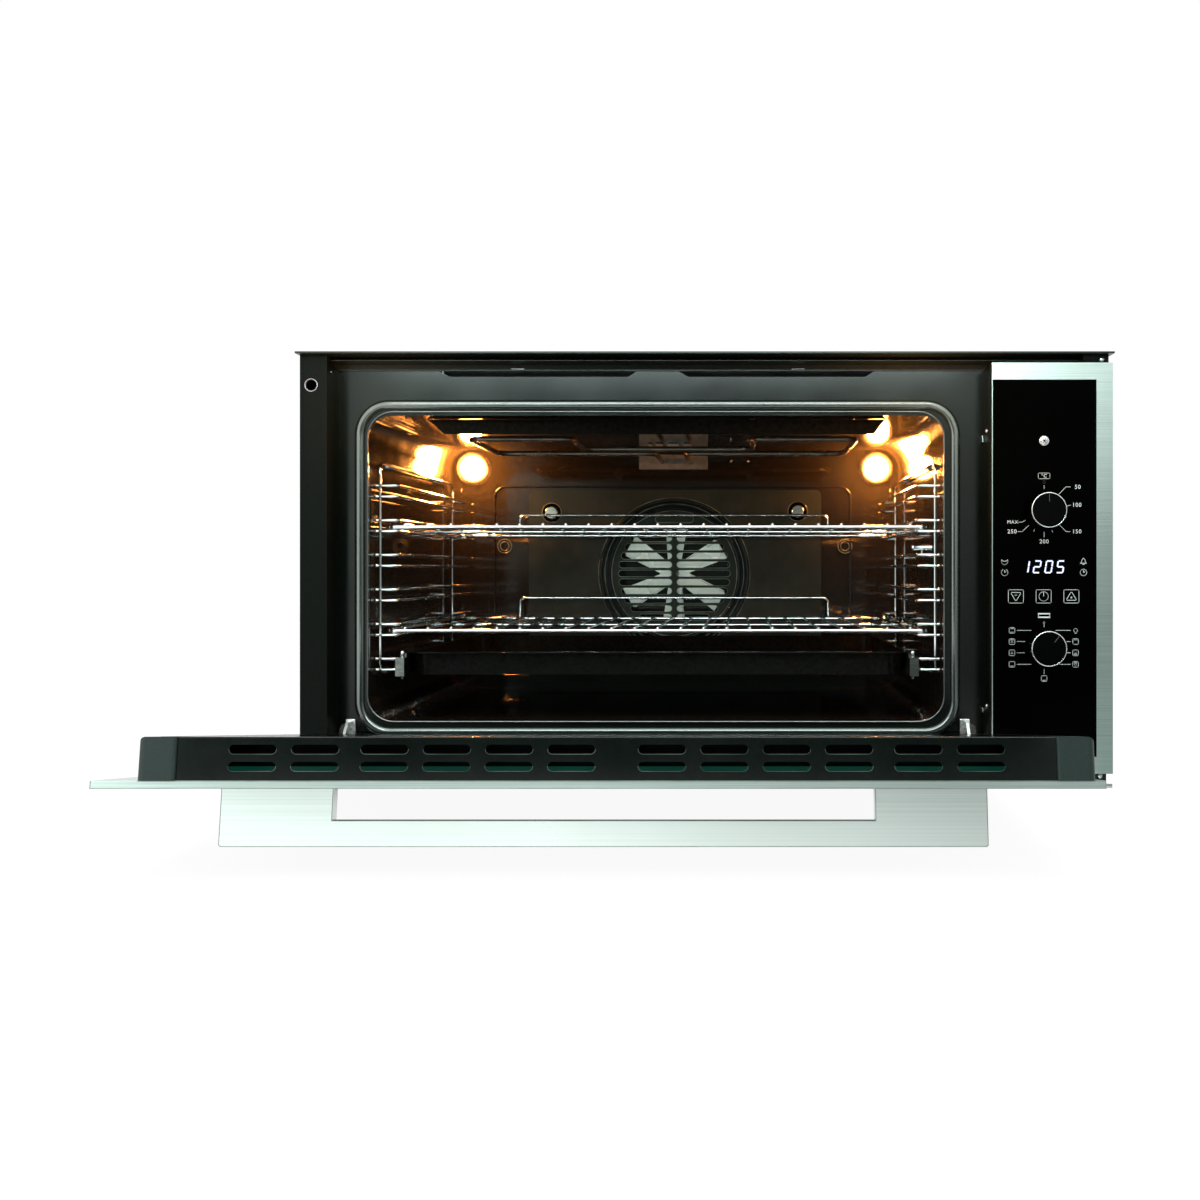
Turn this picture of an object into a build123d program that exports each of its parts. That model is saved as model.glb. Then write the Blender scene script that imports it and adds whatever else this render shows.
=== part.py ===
"""Built-in electric wall oven, 90 cm class: drop-down door on the left, control panel on the right.

Millimetres, +X right, +Y into the cabinet, +Z up. The origin is on the underside of the base, in the
middle of the width, in the plane where the front flanges sit on the cabinet. The door is drawn closed
and then turned about its hinge pins to the open position in which the oven is at rest.
"""
import os
from math import cos, radians, sin, sqrt

from build123d import *

os.makedirs("parts", exist_ok=True)

# ---------------------------------------------------------------- driving dimensions
# whole oven
front_width = 897.0
front_height = 480.0
trim_width = 900.0
trim_sheet = 2.0
chassis_width = 850.0
chassis_depth = 545.0
sheet = 1.2
base_sheet = 1.5
cover_top = 467.2
left_edge = -front_width / 2
right_edge = front_width / 2
chassis_left = -chassis_width / 2
chassis_right = chassis_width / 2
side_top = cover_top - sheet

# front planes, from the front to the back
panel_face = -30.0
panel_back = -24.0
flange_face = -22.0
frame_face = 14.0
frame_back = frame_face + base_sheet
panel_bottom = 16.0
panel_top = 468.0
band = 18.6
panel_glass_sheet = 4.0

# left flange and recess
flange_inner = -418.0
flange_bottom = 30.0
flange_top = front_height - trim_sheet
fixing_hole_x = -435.6
fixing_hole_zs = (42.0, 444.5)
fixing_hole_radius = 2.5
fixing_access_radius = 6.5
recess_right = 314.5

# door
door_right = 312.0
door_centre = (left_edge + door_right) / 2
body_left = -413.5
body_right = 304.5
body_centre = (body_left + body_right) / 2
body_face = 8.6
body_bottom = 22.0
hinge_y = -14.0
hinge_z = 35.0
door_angle = 82.4
rail_width = 14.0
hinge_arm_offset = 349.25
hinge_pin_radius = 3.0
running_gap = 0.05
press_gap = 0.02

# handle
handle_width = 600.0
handle_reach = 46.8
handle_thick = 10.0
handle_z = 420.0
handle_window_width = 424.0
handle_window_depth = 27.1

# control panel
control_left = 315.6
glass_right = 430.5
knob_x = 373.0
thermostat_z = 305.0
selector_z = 154.7
knob_radius = 19.25
knob_reach = 22.0
spindle_radius = 3.0

# cavity
cavity_left = -384.0
cavity_right = 271.0
cavity_floor = 67.5
cavity_roof = 415.5
cavity_back = 412.0
cavity_corner = 28.0
cavity_centre = (cavity_left + cavity_right) / 2

# fan and rear wall
fan_x = -56.5
fan_z = 235.0
fan_radius = 78.0
fan_opening_radius = 96.0
guard_face = 399.0
lamp_xs = (-352.0, 239.0)
lamp_z = 389.0
lamp_radius = 24.0

# racks
ladder_offset = 6.0
rung_offset = 27.0
ladder_front = 40.0
ladder_rear = 385.0
ladder_bottom = 118.6
ladder_top = 364.0
ladder_wire = 1.8
rung_wire = 1.9
rung_levels = 6
first_upper_rung = 337.6
rung_pair_gap = 12.6
level_pitch = 40.1
shelf_side_gap = 11.3
shelf_front = 38.0
shelf_rear = 393.0
rim_wire = 2.6
cross_wire = 2.0
cross_rail_y = 202.0
long_wire = 1.6
long_wire_pitch = 26.6
long_wire_count = 23
shelf_levels = {"upper": 1, "lower": 4}
tray_rim = 145.0


# ---------------------------------------------------------------- shapes used again and again
def block(x0, x1, y0, y1, z0, z1):
    """A plain box between two corners."""
    return Pos((x0 + x1) / 2, (y0 + y1) / 2, (z0 + z1) / 2) * Box(x1 - x0, y1 - y0, z1 - z0)


def rod_x(x0, x1, y, z, radius):
    """A round rod along X."""
    return Pos((x0 + x1) / 2, y, z) * Rot(0, 90, 0) * Cylinder(radius, x1 - x0)


def rod_y(x, y0, y1, z, radius):
    """A round rod along Y."""
    return Pos(x, (y0 + y1) / 2, z) * Rot(90, 0, 0) * Cylinder(radius, y1 - y0)


def rod_z(x, y, z0, z1, radius):
    """A round rod along Z."""
    return Pos(x, y, (z0 + z1) / 2) * Cylinder(radius, z1 - z0)


def facing_front(outline, x, y, z, depth):
    """Extrude a flat outline, drawn as seen from the front, from y back through its depth."""
    plane = Plane(origin=(x, y + depth, z), x_dir=(1, 0, 0), z_dir=(0, -1, 0))
    return extrude(plane * outline, amount=depth)


def rounded_plate(x0, x1, z0, z1, y0, y1, radius):
    """A front-facing plate with rounded corners."""
    outline = RectangleRounded(x1 - x0, z1 - z0, radius)
    return facing_front(outline, (x0 + x1) / 2, y0, (z0 + z1) / 2, y1 - y0)


def bent_wire(points, wire_radius, bend_radius, closed=False):
    """A round wire along straight runs joined by bends."""
    path = FilletPolyline(*points, radius=bend_radius, close=closed)
    section = Plane(origin=path @ 0, z_dir=path % 0) * Circle(wire_radius)
    return sweep(section, path=path)


def mirrored(shape, centre):
    """The same piece on the other side of a vertical plane at x = centre."""
    return mirror(shape, about=Plane(origin=(centre, 0, 0), z_dir=(1, 0, 0)))


def opened(shape):
    """Turn a door piece from the closed door to the resting, open door."""
    about_pins = Pos(0, hinge_y, hinge_z) * Rot(door_angle, 0, 0) * Pos(0, -hinge_y, -hinge_z)
    return about_pins * shape


def fused(shapes):
    """Join overlapping pieces into one solid."""
    return shapes[0].fuse(*shapes[1:]).clean()


def save(name, shape):
    """Write one node."""
    export_step(shape, f"parts/{name}.step")


# ---------------------------------------------------------------- chassis: sheet metal
def base_panel():
    """Floor of the chassis, with a front lip across the full width."""
    floor = block(chassis_left, chassis_right, 0, chassis_depth, 0, base_sheet)
    apron = block(left_edge, right_edge, panel_back - 4, 0, 0, base_sheet)
    lip = block(left_edge, right_edge, panel_back - 4, panel_back - 4 + base_sheet, 0, 3 * base_sheet)
    return fused([floor, apron, lip])


def side_panel():
    """Left side of the chassis: louvres near the back, and a notch for the foot of the open door."""
    panel = block(chassis_left, chassis_left + sheet, -sheet, chassis_depth, base_sheet, side_top)
    panel -= block(chassis_left - 1, chassis_left + 2 * sheet, -2 * sheet, frame_face, base_sheet, flange_bottom)
    for step in range(8):
        y = 360 + 18 * step
        panel -= block(chassis_left - 1, chassis_left + 2 * sheet, y, y + 6, 330, 420)
    return panel


gland_x = 372.0
gland_z = 60.0
gland_radius = 11.0


def rear_panel():
    """Back of the chassis, with cooling slots and the hole for the cable gland."""
    inner_left = chassis_left + sheet
    inner_right = chassis_right - sheet
    panel = block(inner_left, inner_right, chassis_depth - sheet, chassis_depth, base_sheet, side_top)
    for row in range(6):
        z = 300 + 16 * row
        for x in (-330, 210):
            panel -= block(x, x + 90, chassis_depth - 3, chassis_depth + 1, z, z + 6)
    return panel - rod_y(gland_x, chassis_depth - 3, chassis_depth + 1, gland_z, gland_radius)


def top_cover():
    """Lid of the chassis, with cooling slots at the back."""
    cover = block(chassis_left, chassis_right, frame_back, chassis_depth, side_top, cover_top)
    for step in range(10):
        x = -200 + 40 * step
        cover -= block(x, x + 26, 470, 476, side_top - 1, cover_top + 1)
        cover -= block(x, x + 26, 490, 496, side_top - 1, cover_top + 1)
    return cover


def side_panel_slot(x):
    """Slit in the back of a flange into which the front edge of a side panel reaches."""
    return block(x, x + sheet, -2 * sheet, 1, flange_bottom - 1, side_top)


def mounting_flange_left():
    """Folded channel that covers the gap to the cabinet; two screws hold the oven through it."""
    rim_width = 5.0
    rim_face = flange_face + 1.5
    rim = block(left_edge, left_edge + rim_width, rim_face, 0, flange_bottom, flange_top)
    outer = rim.fuse(block(left_edge + rim_width, flange_inner, flange_face, 0, flange_bottom, flange_top))
    hollow = block(left_edge + sheet, flange_inner - sheet, rim_face + sheet, -sheet,
                   flange_bottom - 1, flange_top + 1)
    hollow = hollow.fuse(block(left_edge + rim_width + sheet, flange_inner - sheet, flange_face + sheet, -sheet,
                               flange_bottom - 1, flange_top + 1))
    wing = block(flange_inner - sheet, flange_inner, -sheet, frame_back, flange_bottom, side_top)
    channel = fused([outer - hollow, wing]) - side_panel_slot(chassis_left)
    for z in fixing_hole_zs:
        channel -= rod_y(fixing_hole_x, flange_face - 1, flange_face + 2 * sheet, z, fixing_access_radius)
        channel -= rod_y(fixing_hole_x, -2 * sheet, 1, z, fixing_hole_radius)
    return channel


def mounting_flange_right():
    """Folded channel behind the control panel, seated on the other side of the cabinet opening."""
    x0 = chassis_right - 7
    x1 = right_edge - 2.5
    y0 = panel_back + sheet
    outer = block(x0, x1, y0, 0, flange_bottom, flange_top)
    channel = outer - block(x0 + sheet, x1 - sheet, y0 + sheet, -sheet, flange_bottom - 1, flange_top + 1)
    return channel - side_panel_slot(chassis_right - sheet)


duct_floor = 441.0


def control_box_wall():
    """Upright wall between the cavity side and the control compartment."""
    cheek = block(recess_right, recess_right + 1, panel_back + sheet, frame_back, base_sheet, side_top)
    wall = block(recess_right, recess_right + 1, frame_back, 360, base_sheet, duct_floor)
    return cheek.fuse(wall).clean()


def top_trim():
    """Thin trim plate over the door and control panel, on a riser that leaves the air outlet open."""
    edge = trim_width / 2
    plate = block(-edge, edge, panel_face - 2, frame_back, front_height - trim_sheet, front_height)
    riser = block(left_edge, right_edge, frame_face, frame_back, side_top, front_height)
    step = block(flange_inner, chassis_right - 7, -12, frame_back, 473, 474)
    return fused([plate, riser, step])


def cavity_front_frame():
    """Enamelled front frame around the cavity; its stepped top edge lets the cooling air out."""
    low = 459.5
    high = side_top - 0.4
    # each pair: x, z along the top edge, from the right to the left
    edge = [(recess_right, high), (191, high), (181, low), (-20, low), (-31, high), (-79, high),
            (-88, low), (-291, low), (-302, high), (flange_inner, high)]
    corners = [(flange_inner, base_sheet), (recess_right, base_sheet)] + edge
    outline = make_face(Polyline(*corners, close=True))
    plate = facing_front(outline, 0, frame_face, 0, base_sheet)
    plate -= rounded_plate(cavity_left, cavity_right, cavity_floor, cavity_roof,
                           frame_face - 1, frame_back + 1, cavity_corner)
    for side in (-1, 1):
        x = body_centre + side * hinge_arm_offset
        plate -= block(x - 3, x + 3, frame_face - 1, frame_back + 1, 48, 70)
    return plate


def rounded_frame(x0, x1, z0, z1, y0, y1, radius, width):
    """A rounded rectangular ring, its width measured inwards."""
    outer = rounded_plate(x0, x1, z0, z1, y0, y1, radius)
    return outer - rounded_plate(x0 + width, x1 - width, z0 + width, z1 - width,
                                 y0 - 1, y1 + 1, radius - width)


def door_seal():
    """Seal bead around the cavity opening."""
    bead_width = 11.0
    outer = 14.7
    ring = rounded_frame(cavity_left - outer, cavity_right + outer + 3, cavity_floor - outer - 2.6,
                         cavity_roof + outer + 3, body_face + 0.6, frame_face, 40, bead_width)
    front_edges = ring.edges().group_by(Axis.Y)[0]
    return fillet(front_edges, 4.5)


def cavity_liner():
    """Enamelled tunnel of the cavity: floor, roof and side walls in one wrap."""
    outer = rounded_plate(cavity_left - sheet, cavity_right + sheet, cavity_floor - sheet,
                          cavity_roof + sheet, frame_back, cavity_back, cavity_corner + sheet)
    return outer - rounded_plate(cavity_left, cavity_right, cavity_floor, cavity_roof,
                                 frame_back - 1, cavity_back + 1, cavity_corner)


def cavity_rear_wall():
    """Back wall of the cavity, with the fan opening, two lamp holes and the grill terminal holes."""
    wall = rounded_plate(cavity_left - sheet, cavity_right + sheet, cavity_floor - sheet,
                         cavity_roof + sheet, cavity_back, cavity_back + sheet, cavity_corner + sheet)
    wall -= rod_y(fan_x, cavity_back - 1, cavity_back + 3, fan_z, fan_opening_radius)
    for x in lamp_xs:
        wall -= rod_y(x, cavity_back - 1, cavity_back + 3, lamp_z, lamp_radius - 6)
    for x in grill_terminals():
        wall -= rod_y(x, cavity_back - 1, cavity_back + 3, grill_z, grill_tube + 0.6)
    return wall


def cavity_supports():
    """Two folded rails that carry the cavity on the base."""
    rails = []
    for y in (90, 330):
        rail = block(-330, 220, y, y + 50, base_sheet, cavity_floor - sheet)
        rails.append(rail - block(-331, 221, y + base_sheet, y + 50 - base_sheet, 0, cavity_floor - 2 * sheet))
    return Compound(children=rails)


def insulation_blanket():
    """Mineral wool over the cavity: a hood over roof and sides, and a pad behind the back wall."""
    thick = 20.0
    gap = sheet + 0.3
    x0 = cavity_left - gap
    x1 = cavity_right + gap
    roof = cavity_roof + gap
    outer = rounded_plate(x0 - thick, x1 + thick, 90 - thick, roof + thick, 20, cavity_back, 40)
    inner = rounded_plate(x0, x1, cavity_floor - gap, roof, 19, cavity_back + 1, cavity_corner + gap)
    hood = outer - inner - block(x0 - 30, x1 + 30, 0, 500, 0, 95)
    return hood


# ---------------------------------------------------------------- cavity fittings
grill_z = 399.0
grill_tube = 3.5
grill_centre = -55.0
grill_terminal_offset = 20.0


def grill_terminals():
    """Where the two ends of the grill element pass the back wall."""
    return (grill_centre - grill_terminal_offset, grill_centre + grill_terminal_offset)


def grill_element():
    """Grill element under the roof: one tube bent into a broad M."""
    wide = 235.0
    narrow = 110.0
    front = 105.0
    middle = 225.0
    rear = 285.0
    half = [(grill_terminal_offset, cavity_back + 18), (grill_terminal_offset, rear), (wide, rear),
            (wide, front), (narrow, front), (narrow, middle)]
    right = [(grill_centre + x, y, grill_z) for x, y in half]
    left = [(grill_centre - x, y, grill_z) for x, y in half]
    return bent_wire(left + right[::-1], grill_tube, 16)


def grill_bracket():
    """Plate that holds the grill element's ends on the back wall."""
    plate = rounded_plate(-109, -8, 388, 409.5, cavity_back - 1.5, cavity_back, 2)
    for x in grill_terminals():
        plate -= rod_y(x, cavity_back - 3, cavity_back + 1, grill_z, grill_tube + 0.3)
    return plate


def ceiling_baffle():
    """Sloping-ended plate under the roof at the front, which screens the grill."""
    outline = make_face(Polyline((-305, 398), (195, 398), (208, 415.3), (-325, 415.3), close=True))
    return facing_front(outline, 0, 46, 0, sheet)


def bottom_element():
    """Hidden element under the cavity floor: one tube bent into a loop."""
    z = cavity_floor - sheet - grill_tube - 0.5
    points = [(-240, 160, z), (130, 160, z), (130, 310, z), (-240, 310, z)]
    return bent_wire(points, grill_tube, 30)


def fan_guard_panel():
    """Removable panel in front of the fan, pressed with rings and pierced with air slots."""
    left = -269.0
    right = 158.0
    bottom = 76.0
    top = 357.0
    slot_pitch = 12.8
    slot_height = 9.8
    slot_reach = 82.0
    rib = 6.5
    tray = rounded_plate(left, right, bottom, top, guard_face, cavity_back, 8)
    panel = tray - rounded_plate(left + sheet, right - sheet, bottom + sheet, top - sheet,
                                 guard_face + sheet, cavity_back + 1, 8 - sheet)
    for radius in (107.0, 95.0):
        panel += Pos(fan_x, guard_face + 0.4, fan_z) * Rot(90, 0, 0) * Torus(radius, 2.2)
    for row in range(-5, 6):
        dz = row * slot_pitch
        length = sqrt(slot_reach ** 2 - dz ** 2) - rib / 2
        for side in (-1, 1):
            x = fan_x + side * (rib / 2 + length / 2)
            slot = SlotOverall(length, slot_height)
            panel -= facing_front(slot, x, guard_face - 1, fan_z + dz, 4)
    for x, z in guard_screw_places:
        panel -= rod_y(x, guard_face - 1, guard_face + 3, z, 2.6)
    return panel


guard_screw_places = ((-235.7, 323.7), (123.6, 325.7))


def guard_screws():
    """Two thumb screws that hold the fan guard panel to the back wall."""
    screws = []
    for x, z in guard_screw_places:
        head = rod_y(x, guard_face - 6, guard_face, z, 9)
        shank = rod_y(x, guard_face - 0.5, cavity_back, z, 2.5)
        screws.append(fillet((head).edges().group_by(Axis.Y)[0], 1.5).fuse(shank))
    return Compound(children=screws)


pan_depth = 40.0
pan_radius = 106.0
pan_back = cavity_back + sheet + pan_depth
shaft_radius = 4.0


def fan_pan():
    """Round pan behind the back wall, in which the convection fan turns."""
    front = cavity_back + sheet
    pan = rod_y(fan_x, front, pan_back, fan_z, pan_radius) + rod_y(fan_x, front, front + sheet, fan_z, 118)
    pan -= rod_y(fan_x, front - 1, pan_back - sheet, fan_z, pan_radius - sheet)
    pan -= rod_y(fan_x, pan_back - 3, pan_back + 1, fan_z, shaft_radius + 4)
    for side in (-1, 1):
        pan -= rod_y(fan_x + side * 12, pan_back - 3, pan_back + 1, heater_terminal_z(), grill_tube + 0.6)
    return pan


heater_radius = 91.0


def heater_terminal_z():
    """Height at which the ring heater's ends leave through the pan."""
    return fan_z - heater_radius


def convection_heater():
    """Ring heater around the convection fan, with its two ends leading back."""
    y = cavity_back + 16
    ring = Pos(fan_x, y, fan_z) * Rot(90, 0, 0) * Torus(heater_radius, grill_tube)
    end_radius = grill_tube - 0.8
    ends = [rod_y(fan_x + side * 12, y, pan_back + 12, heater_terminal_z(), end_radius) for side in (-1, 1)]
    return fused([ring] + ends)


def fan_motor():
    """Convection fan motor behind the pan."""
    plate = rod_y(fan_x, pan_back, pan_back + 2, fan_z, 52)
    can = rod_y(fan_x, pan_back + 2, pan_back + 56, fan_z, 38)
    stack = block(fan_x - 42, fan_x + 42, pan_back + 14, pan_back + 38, fan_z - 34, fan_z + 34)
    motor = fused([plate, can, stack])
    for side in (-1, 1):
        x = fan_x + side * 12
        motor -= rod_y(x, pan_back - 1, pan_back + 20, heater_terminal_z(), grill_tube + 1)
    return motor - rod_y(fan_x, pan_back - 1, pan_back + 30, fan_z, shaft_radius + running_gap)


def fan_shaft():
    """Shaft of the convection fan."""
    return rod_y(fan_x, cavity_back + 2, pan_back + 28, fan_z, shaft_radius)


fan_front = cavity_back + 5


def fan_impeller():
    """Six-armed convection fan: a flat star whose arms carry blades bent back."""
    blade_depth = 22.0
    arm = make_face(Polyline((-8, 8), (8, 8), (19, fan_radius), (-12, fan_radius), close=True))
    star = facing_front(Circle(22), fan_x, fan_front, fan_z, 1.5)
    pieces = [star, rod_y(fan_x, fan_front, fan_front + 14, fan_z, 9)]
    for step in range(6):
        turn = Rot(0, 0, 60 * step)
        pieces.append(facing_front(turn * arm, fan_x, fan_front, fan_z, 1.5))
        blade = turn * Pos(-11.2, 44) * Rot(0, 0, 3.4) * Rectangle(1.5, 64)
        pieces.append(facing_front(blade, fan_x, fan_front, fan_z, blade_depth))
    impeller = fused(pieces)
    return impeller - rod_y(fan_x, fan_front - 1, fan_front + 30, fan_z, shaft_radius)


def lamp_lens(x):
    """Domed glass cover of an oven lamp."""
    front = cavity_back - 14
    dome = fillet(rod_y(x, front, cavity_back, lamp_z, lamp_radius).edges().group_by(Axis.Y)[0], 9)
    hollow = rod_y(x, front + 3, cavity_back + 1, lamp_z, lamp_radius - 3)
    return dome - fillet(hollow.edges().group_by(Axis.Y)[0], 7)


def lamp_holder(x):
    """Ceramic lamp holder clipped through the back wall."""
    neck = rod_y(x, cavity_back - 1, cavity_back + 34, lamp_z, lamp_radius - 6.5)
    collar = rod_y(x, cavity_back + sheet, cavity_back + sheet + 2, lamp_z, lamp_radius - 3)
    return neck.fuse(collar)


def rack_ladder():
    """Left wire side frame: a loop on four wall pins, with six pairs of rungs away from the wall."""
    frame_x = cavity_left + ladder_offset
    rung_x = cavity_left + rung_offset
    loop = [(frame_x, ladder_front, ladder_bottom), (frame_x, ladder_rear, ladder_bottom),
            (frame_x, ladder_rear, ladder_top), (frame_x, ladder_front, ladder_top)]
    wires = [bent_wire(loop, ladder_wire, 12, closed=True)]
    for level in range(rung_levels):
        upper = first_upper_rung - level * level_pitch
        for z in (upper, upper - rung_pair_gap):
            run = [(frame_x, ladder_front, z), (rung_x, ladder_front, z),
                   (rung_x, ladder_rear, z), (frame_x, ladder_rear, z)]
            wires.append(bent_wire(run, rung_wire, 6))
    for y in (ladder_front + 60, ladder_rear - 60):
        for z in (ladder_bottom, ladder_top):
            wires.append(rod_x(cavity_left, frame_x, y, z, 4))
    return fused(wires)



# ---------------------------------------------------------------- racks, tray and runners
def wire_shelf(level):
    """Wire shelf: rim, cross rail, long wires and a raised stop at the back."""
    z = first_upper_rung - level * level_pitch - rung_pair_gap + rung_wire + 0.3 + rim_wire
    left = cavity_left + shelf_side_gap + rim_wire
    right = cavity_right - shelf_side_gap - rim_wire
    front = shelf_front + rim_wire
    rear = shelf_rear - rim_wire
    rim = [(left, front, z), (right, front, z), (right, rear, z), (left, rear, z)]
    wires = [bent_wire(rim, rim_wire, 10, closed=True)]
    wires.append(rod_x(left, right, cross_rail_y, z - 0.5, cross_wire))
    long_z = z + cross_wire + long_wire - 0.9
    first = (left + right - (long_wire_count - 1) * long_wire_pitch) / 2
    for step in range(long_wire_count):
        x = first + step * long_wire_pitch
        wires.append(rod_y(x, front - 1.4, rear, long_z, long_wire))
    stop_left = cavity_centre - 224
    stop_right = cavity_centre + 224
    stop = [(stop_left, rear, z), (stop_left, rear, z + 30), (stop_right, rear, z + 30), (stop_right, rear, z)]
    wires.append(bent_wire(stop, cross_wire, 8))
    return fused(wires)


runner_left = cavity_left + rung_offset + rung_wire
runner_front = ladder_front + 4
runner_rear = 378.0


def runner_fixed():
    """Left fixed rail of the telescopic runner, a channel open towards the tray."""
    channel = block(runner_left, runner_left + 6, runner_front, runner_rear, 118, 139)
    return channel - block(runner_left + 1, runner_left + 7, runner_front - 1, runner_rear + 1, 119, 138)


def runner_slide():
    """Left moving rail of the telescopic runner; its inner flange carries the tray rim."""
    bar = block(runner_left + 1.3, runner_left + 6.4, 37.5, runner_rear, 119.4, 137.6)
    flange = block(runner_left + 6.4, runner_left + 8.2, 37.5, runner_rear, 121, tray_rim - base_sheet)
    cap = block(runner_left - 1.9, runner_left + 8.2, 28, 37.5, 118, 139)
    return fused([bar, flange, cap])


def baking_tray():
    """Enamelled baking tray with a flat rim."""
    half_rim = 294.5
    wall = half_rim - 5.5
    centre_y = 212.0
    half_depth = 170.0
    floor = 118.5
    height = tray_rim - floor
    rim_plane = Plane(origin=(cavity_centre, centre_y, tray_rim))
    outer = extrude(rim_plane * RectangleRounded(2 * wall, 2 * half_depth, 22), amount=-height, taper=8)
    inner_sketch = RectangleRounded(2 * wall - 2 * base_sheet, 2 * half_depth - 2 * base_sheet, 20.5)
    inner = extrude(rim_plane * inner_sketch, amount=base_sheet - height, taper=8)
    rim = extrude(rim_plane * RectangleRounded(2 * half_rim, 2 * half_depth + 9, 26), amount=-base_sheet)
    return rim.fuse(outer) - inner


# ---------------------------------------------------------------- control compartment
def control_panel_frame():
    """Brushed steel surround of the control panel: three bands and a thin left edge."""
    left_band = 0.8
    outer = block(control_left, right_edge, panel_face, panel_back, panel_bottom, panel_top)
    window = block(control_left + left_band, glass_right, panel_face - 1, panel_back - 1.4,
                   panel_bottom + band, panel_top - band)
    rebate = block(control_left + left_band + 4, glass_right - 6, panel_back - 2, panel_back + 1,
                   panel_bottom + band + 6, panel_top - band - 6)
    return outer - window - rebate


def control_glass():
    """Black glass of the control panel, drilled for two spindles and a stud."""
    y0 = panel_back - 1.4 - panel_glass_sheet
    glass = block(control_left + 1, glass_right - 0.2, y0, y0 + panel_glass_sheet,
                  panel_bottom + band + 0.2, panel_top - band - 0.2)
    for z in (thermostat_z, selector_z):
        glass -= rod_y(knob_x, y0 - 1, y0 + 6, z, spindle_radius + 2)
    return glass


carrier_back = panel_back + sheet
clock_z = 233.0


def control_carrier():
    """Steel plate behind the panel, to which the switches are screwed."""
    plate = block(recess_right + 2, right_edge - 2.5, panel_back, carrier_back, 20, side_top)
    for z in (thermostat_z, selector_z):
        plate -= rod_y(knob_x, panel_back - 1, carrier_back + 1, z, spindle_radius + 2)
    return plate - block(324, 420, panel_back - 1, carrier_back + 1, clock_z - 30, clock_z + 30)


def clock_module():
    """Electronic clock with its display and touch keys, behind the glass."""
    y0 = panel_back - 1.4
    front = block(326, 416, y0 + 0.1, carrier_back, clock_z - 28, clock_z + 28)
    return front.fuse(block(320, 416, carrier_back, 0, clock_z - 32, clock_z + 32))


def spindle_bore(z, y1):
    """The bearing hole for a knob's spindle."""
    return rod_y(knob_x, panel_back, y1, z, spindle_radius + running_gap)


def thermostat_body():
    """Capillary thermostat behind the upper knob."""
    body = block(knob_x - 20, knob_x + 20, carrier_back, 12, thermostat_z - 20, thermostat_z + 20)
    bush = rod_y(knob_x, panel_back, carrier_back, thermostat_z, spindle_radius + 1.8)
    return body.fuse(bush) - spindle_bore(thermostat_z, -2)


def selector_switch():
    """Function selector switch behind the lower knob."""
    body = block(knob_x - 24, knob_x + 24, carrier_back, 26, selector_z - 22, selector_z + 22)
    bush = rod_y(knob_x, panel_back, carrier_back, selector_z, spindle_radius + 1.8)
    return body.fuse(bush) - spindle_bore(selector_z, -2)


knob_face = panel_face - knob_reach
knob_seat = panel_face - 0.4
ring_depth = 1.4
ring_width = 1.1


def knob_cap(z):
    """Moulded knob with a stepped front for its bright ring."""
    skirt = rod_y(knob_x, knob_face + ring_depth, knob_seat, z, knob_radius)
    front = rod_y(knob_x, knob_face, knob_face + ring_depth, z, knob_radius - ring_width)
    socket = rod_y(knob_x, knob_face + 7, knob_seat + 1, z, spindle_radius)
    return skirt.fuse(front) - socket


def knob_spindle(z):
    """Spindle that carries a knob and turns in its switch."""
    return rod_y(knob_x, knob_face + 7, -3, z, spindle_radius)


blower_y = 330.0
blower_z = 330.0
blower_left = 332.0
blower_right = 384.0
blower_radius = 64.0


def cooling_fan_housing():
    """Scroll housing of the cooling blower, with a spout up to the air duct."""
    drum = rod_x(blower_left, blower_right, blower_y, blower_z, blower_radius)
    spout = block(blower_left, blower_right, blower_y - blower_radius, blower_y - 10, blower_z, duct_floor)
    inner_drum = rod_x(blower_left + sheet, blower_right - sheet, blower_y, blower_z, blower_radius - sheet)
    inner_spout = block(blower_left + sheet, blower_right - sheet, blower_y - blower_radius + sheet,
                        blower_y - 10 - sheet, blower_z, duct_floor + 1)
    shell = drum.fuse(spout) - inner_drum - inner_spout
    shell -= rod_x(blower_right - 3, blower_right + 1, blower_y, blower_z, 38)
    return shell - rod_x(blower_left - 1, blower_left + 3, blower_y, blower_z, 8)


def cooling_fan_motor():
    """Motor of the cooling blower, between the compartment wall and the housing."""
    can = rod_x(recess_right + 1, blower_left, blower_y, blower_z, 26)
    arm = block(recess_right + 1, recess_right + 4, 250, blower_y, blower_z - 15, blower_z + 15)
    motor = can.fuse(arm)
    return motor - rod_x(blower_left - 12, blower_left + 1, blower_y, blower_z, 3 + running_gap)


def cooling_rotor():
    """Drum rotor of the cooling blower."""
    x0 = blower_left + 5
    x1 = blower_right - 6
    disc = rod_x(x0, x0 + 1.5, blower_y, blower_z, 50)
    hub = rod_x(x0, x0 + 14, blower_y, blower_z, 9)
    shaft = rod_x(blower_left - 11, x0 + 2, blower_y, blower_z, 3)
    end_ring = rod_x(x1 - 2, x1, blower_y, blower_z, 50) - rod_x(x1 - 3, x1 + 1, blower_y, blower_z, 42)
    pieces = [disc, hub, shaft, end_ring]
    for step in range(20):
        turn = Pos(0, blower_y, blower_z) * Rot(18 * step, 0, 0)
        pieces.append(turn * Pos((x0 + x1) / 2, 0, 46) * Rot(25, 0, 0) * Box(x1 - x0 - 1, 1.2, 8))
    return fused(pieces)


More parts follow.
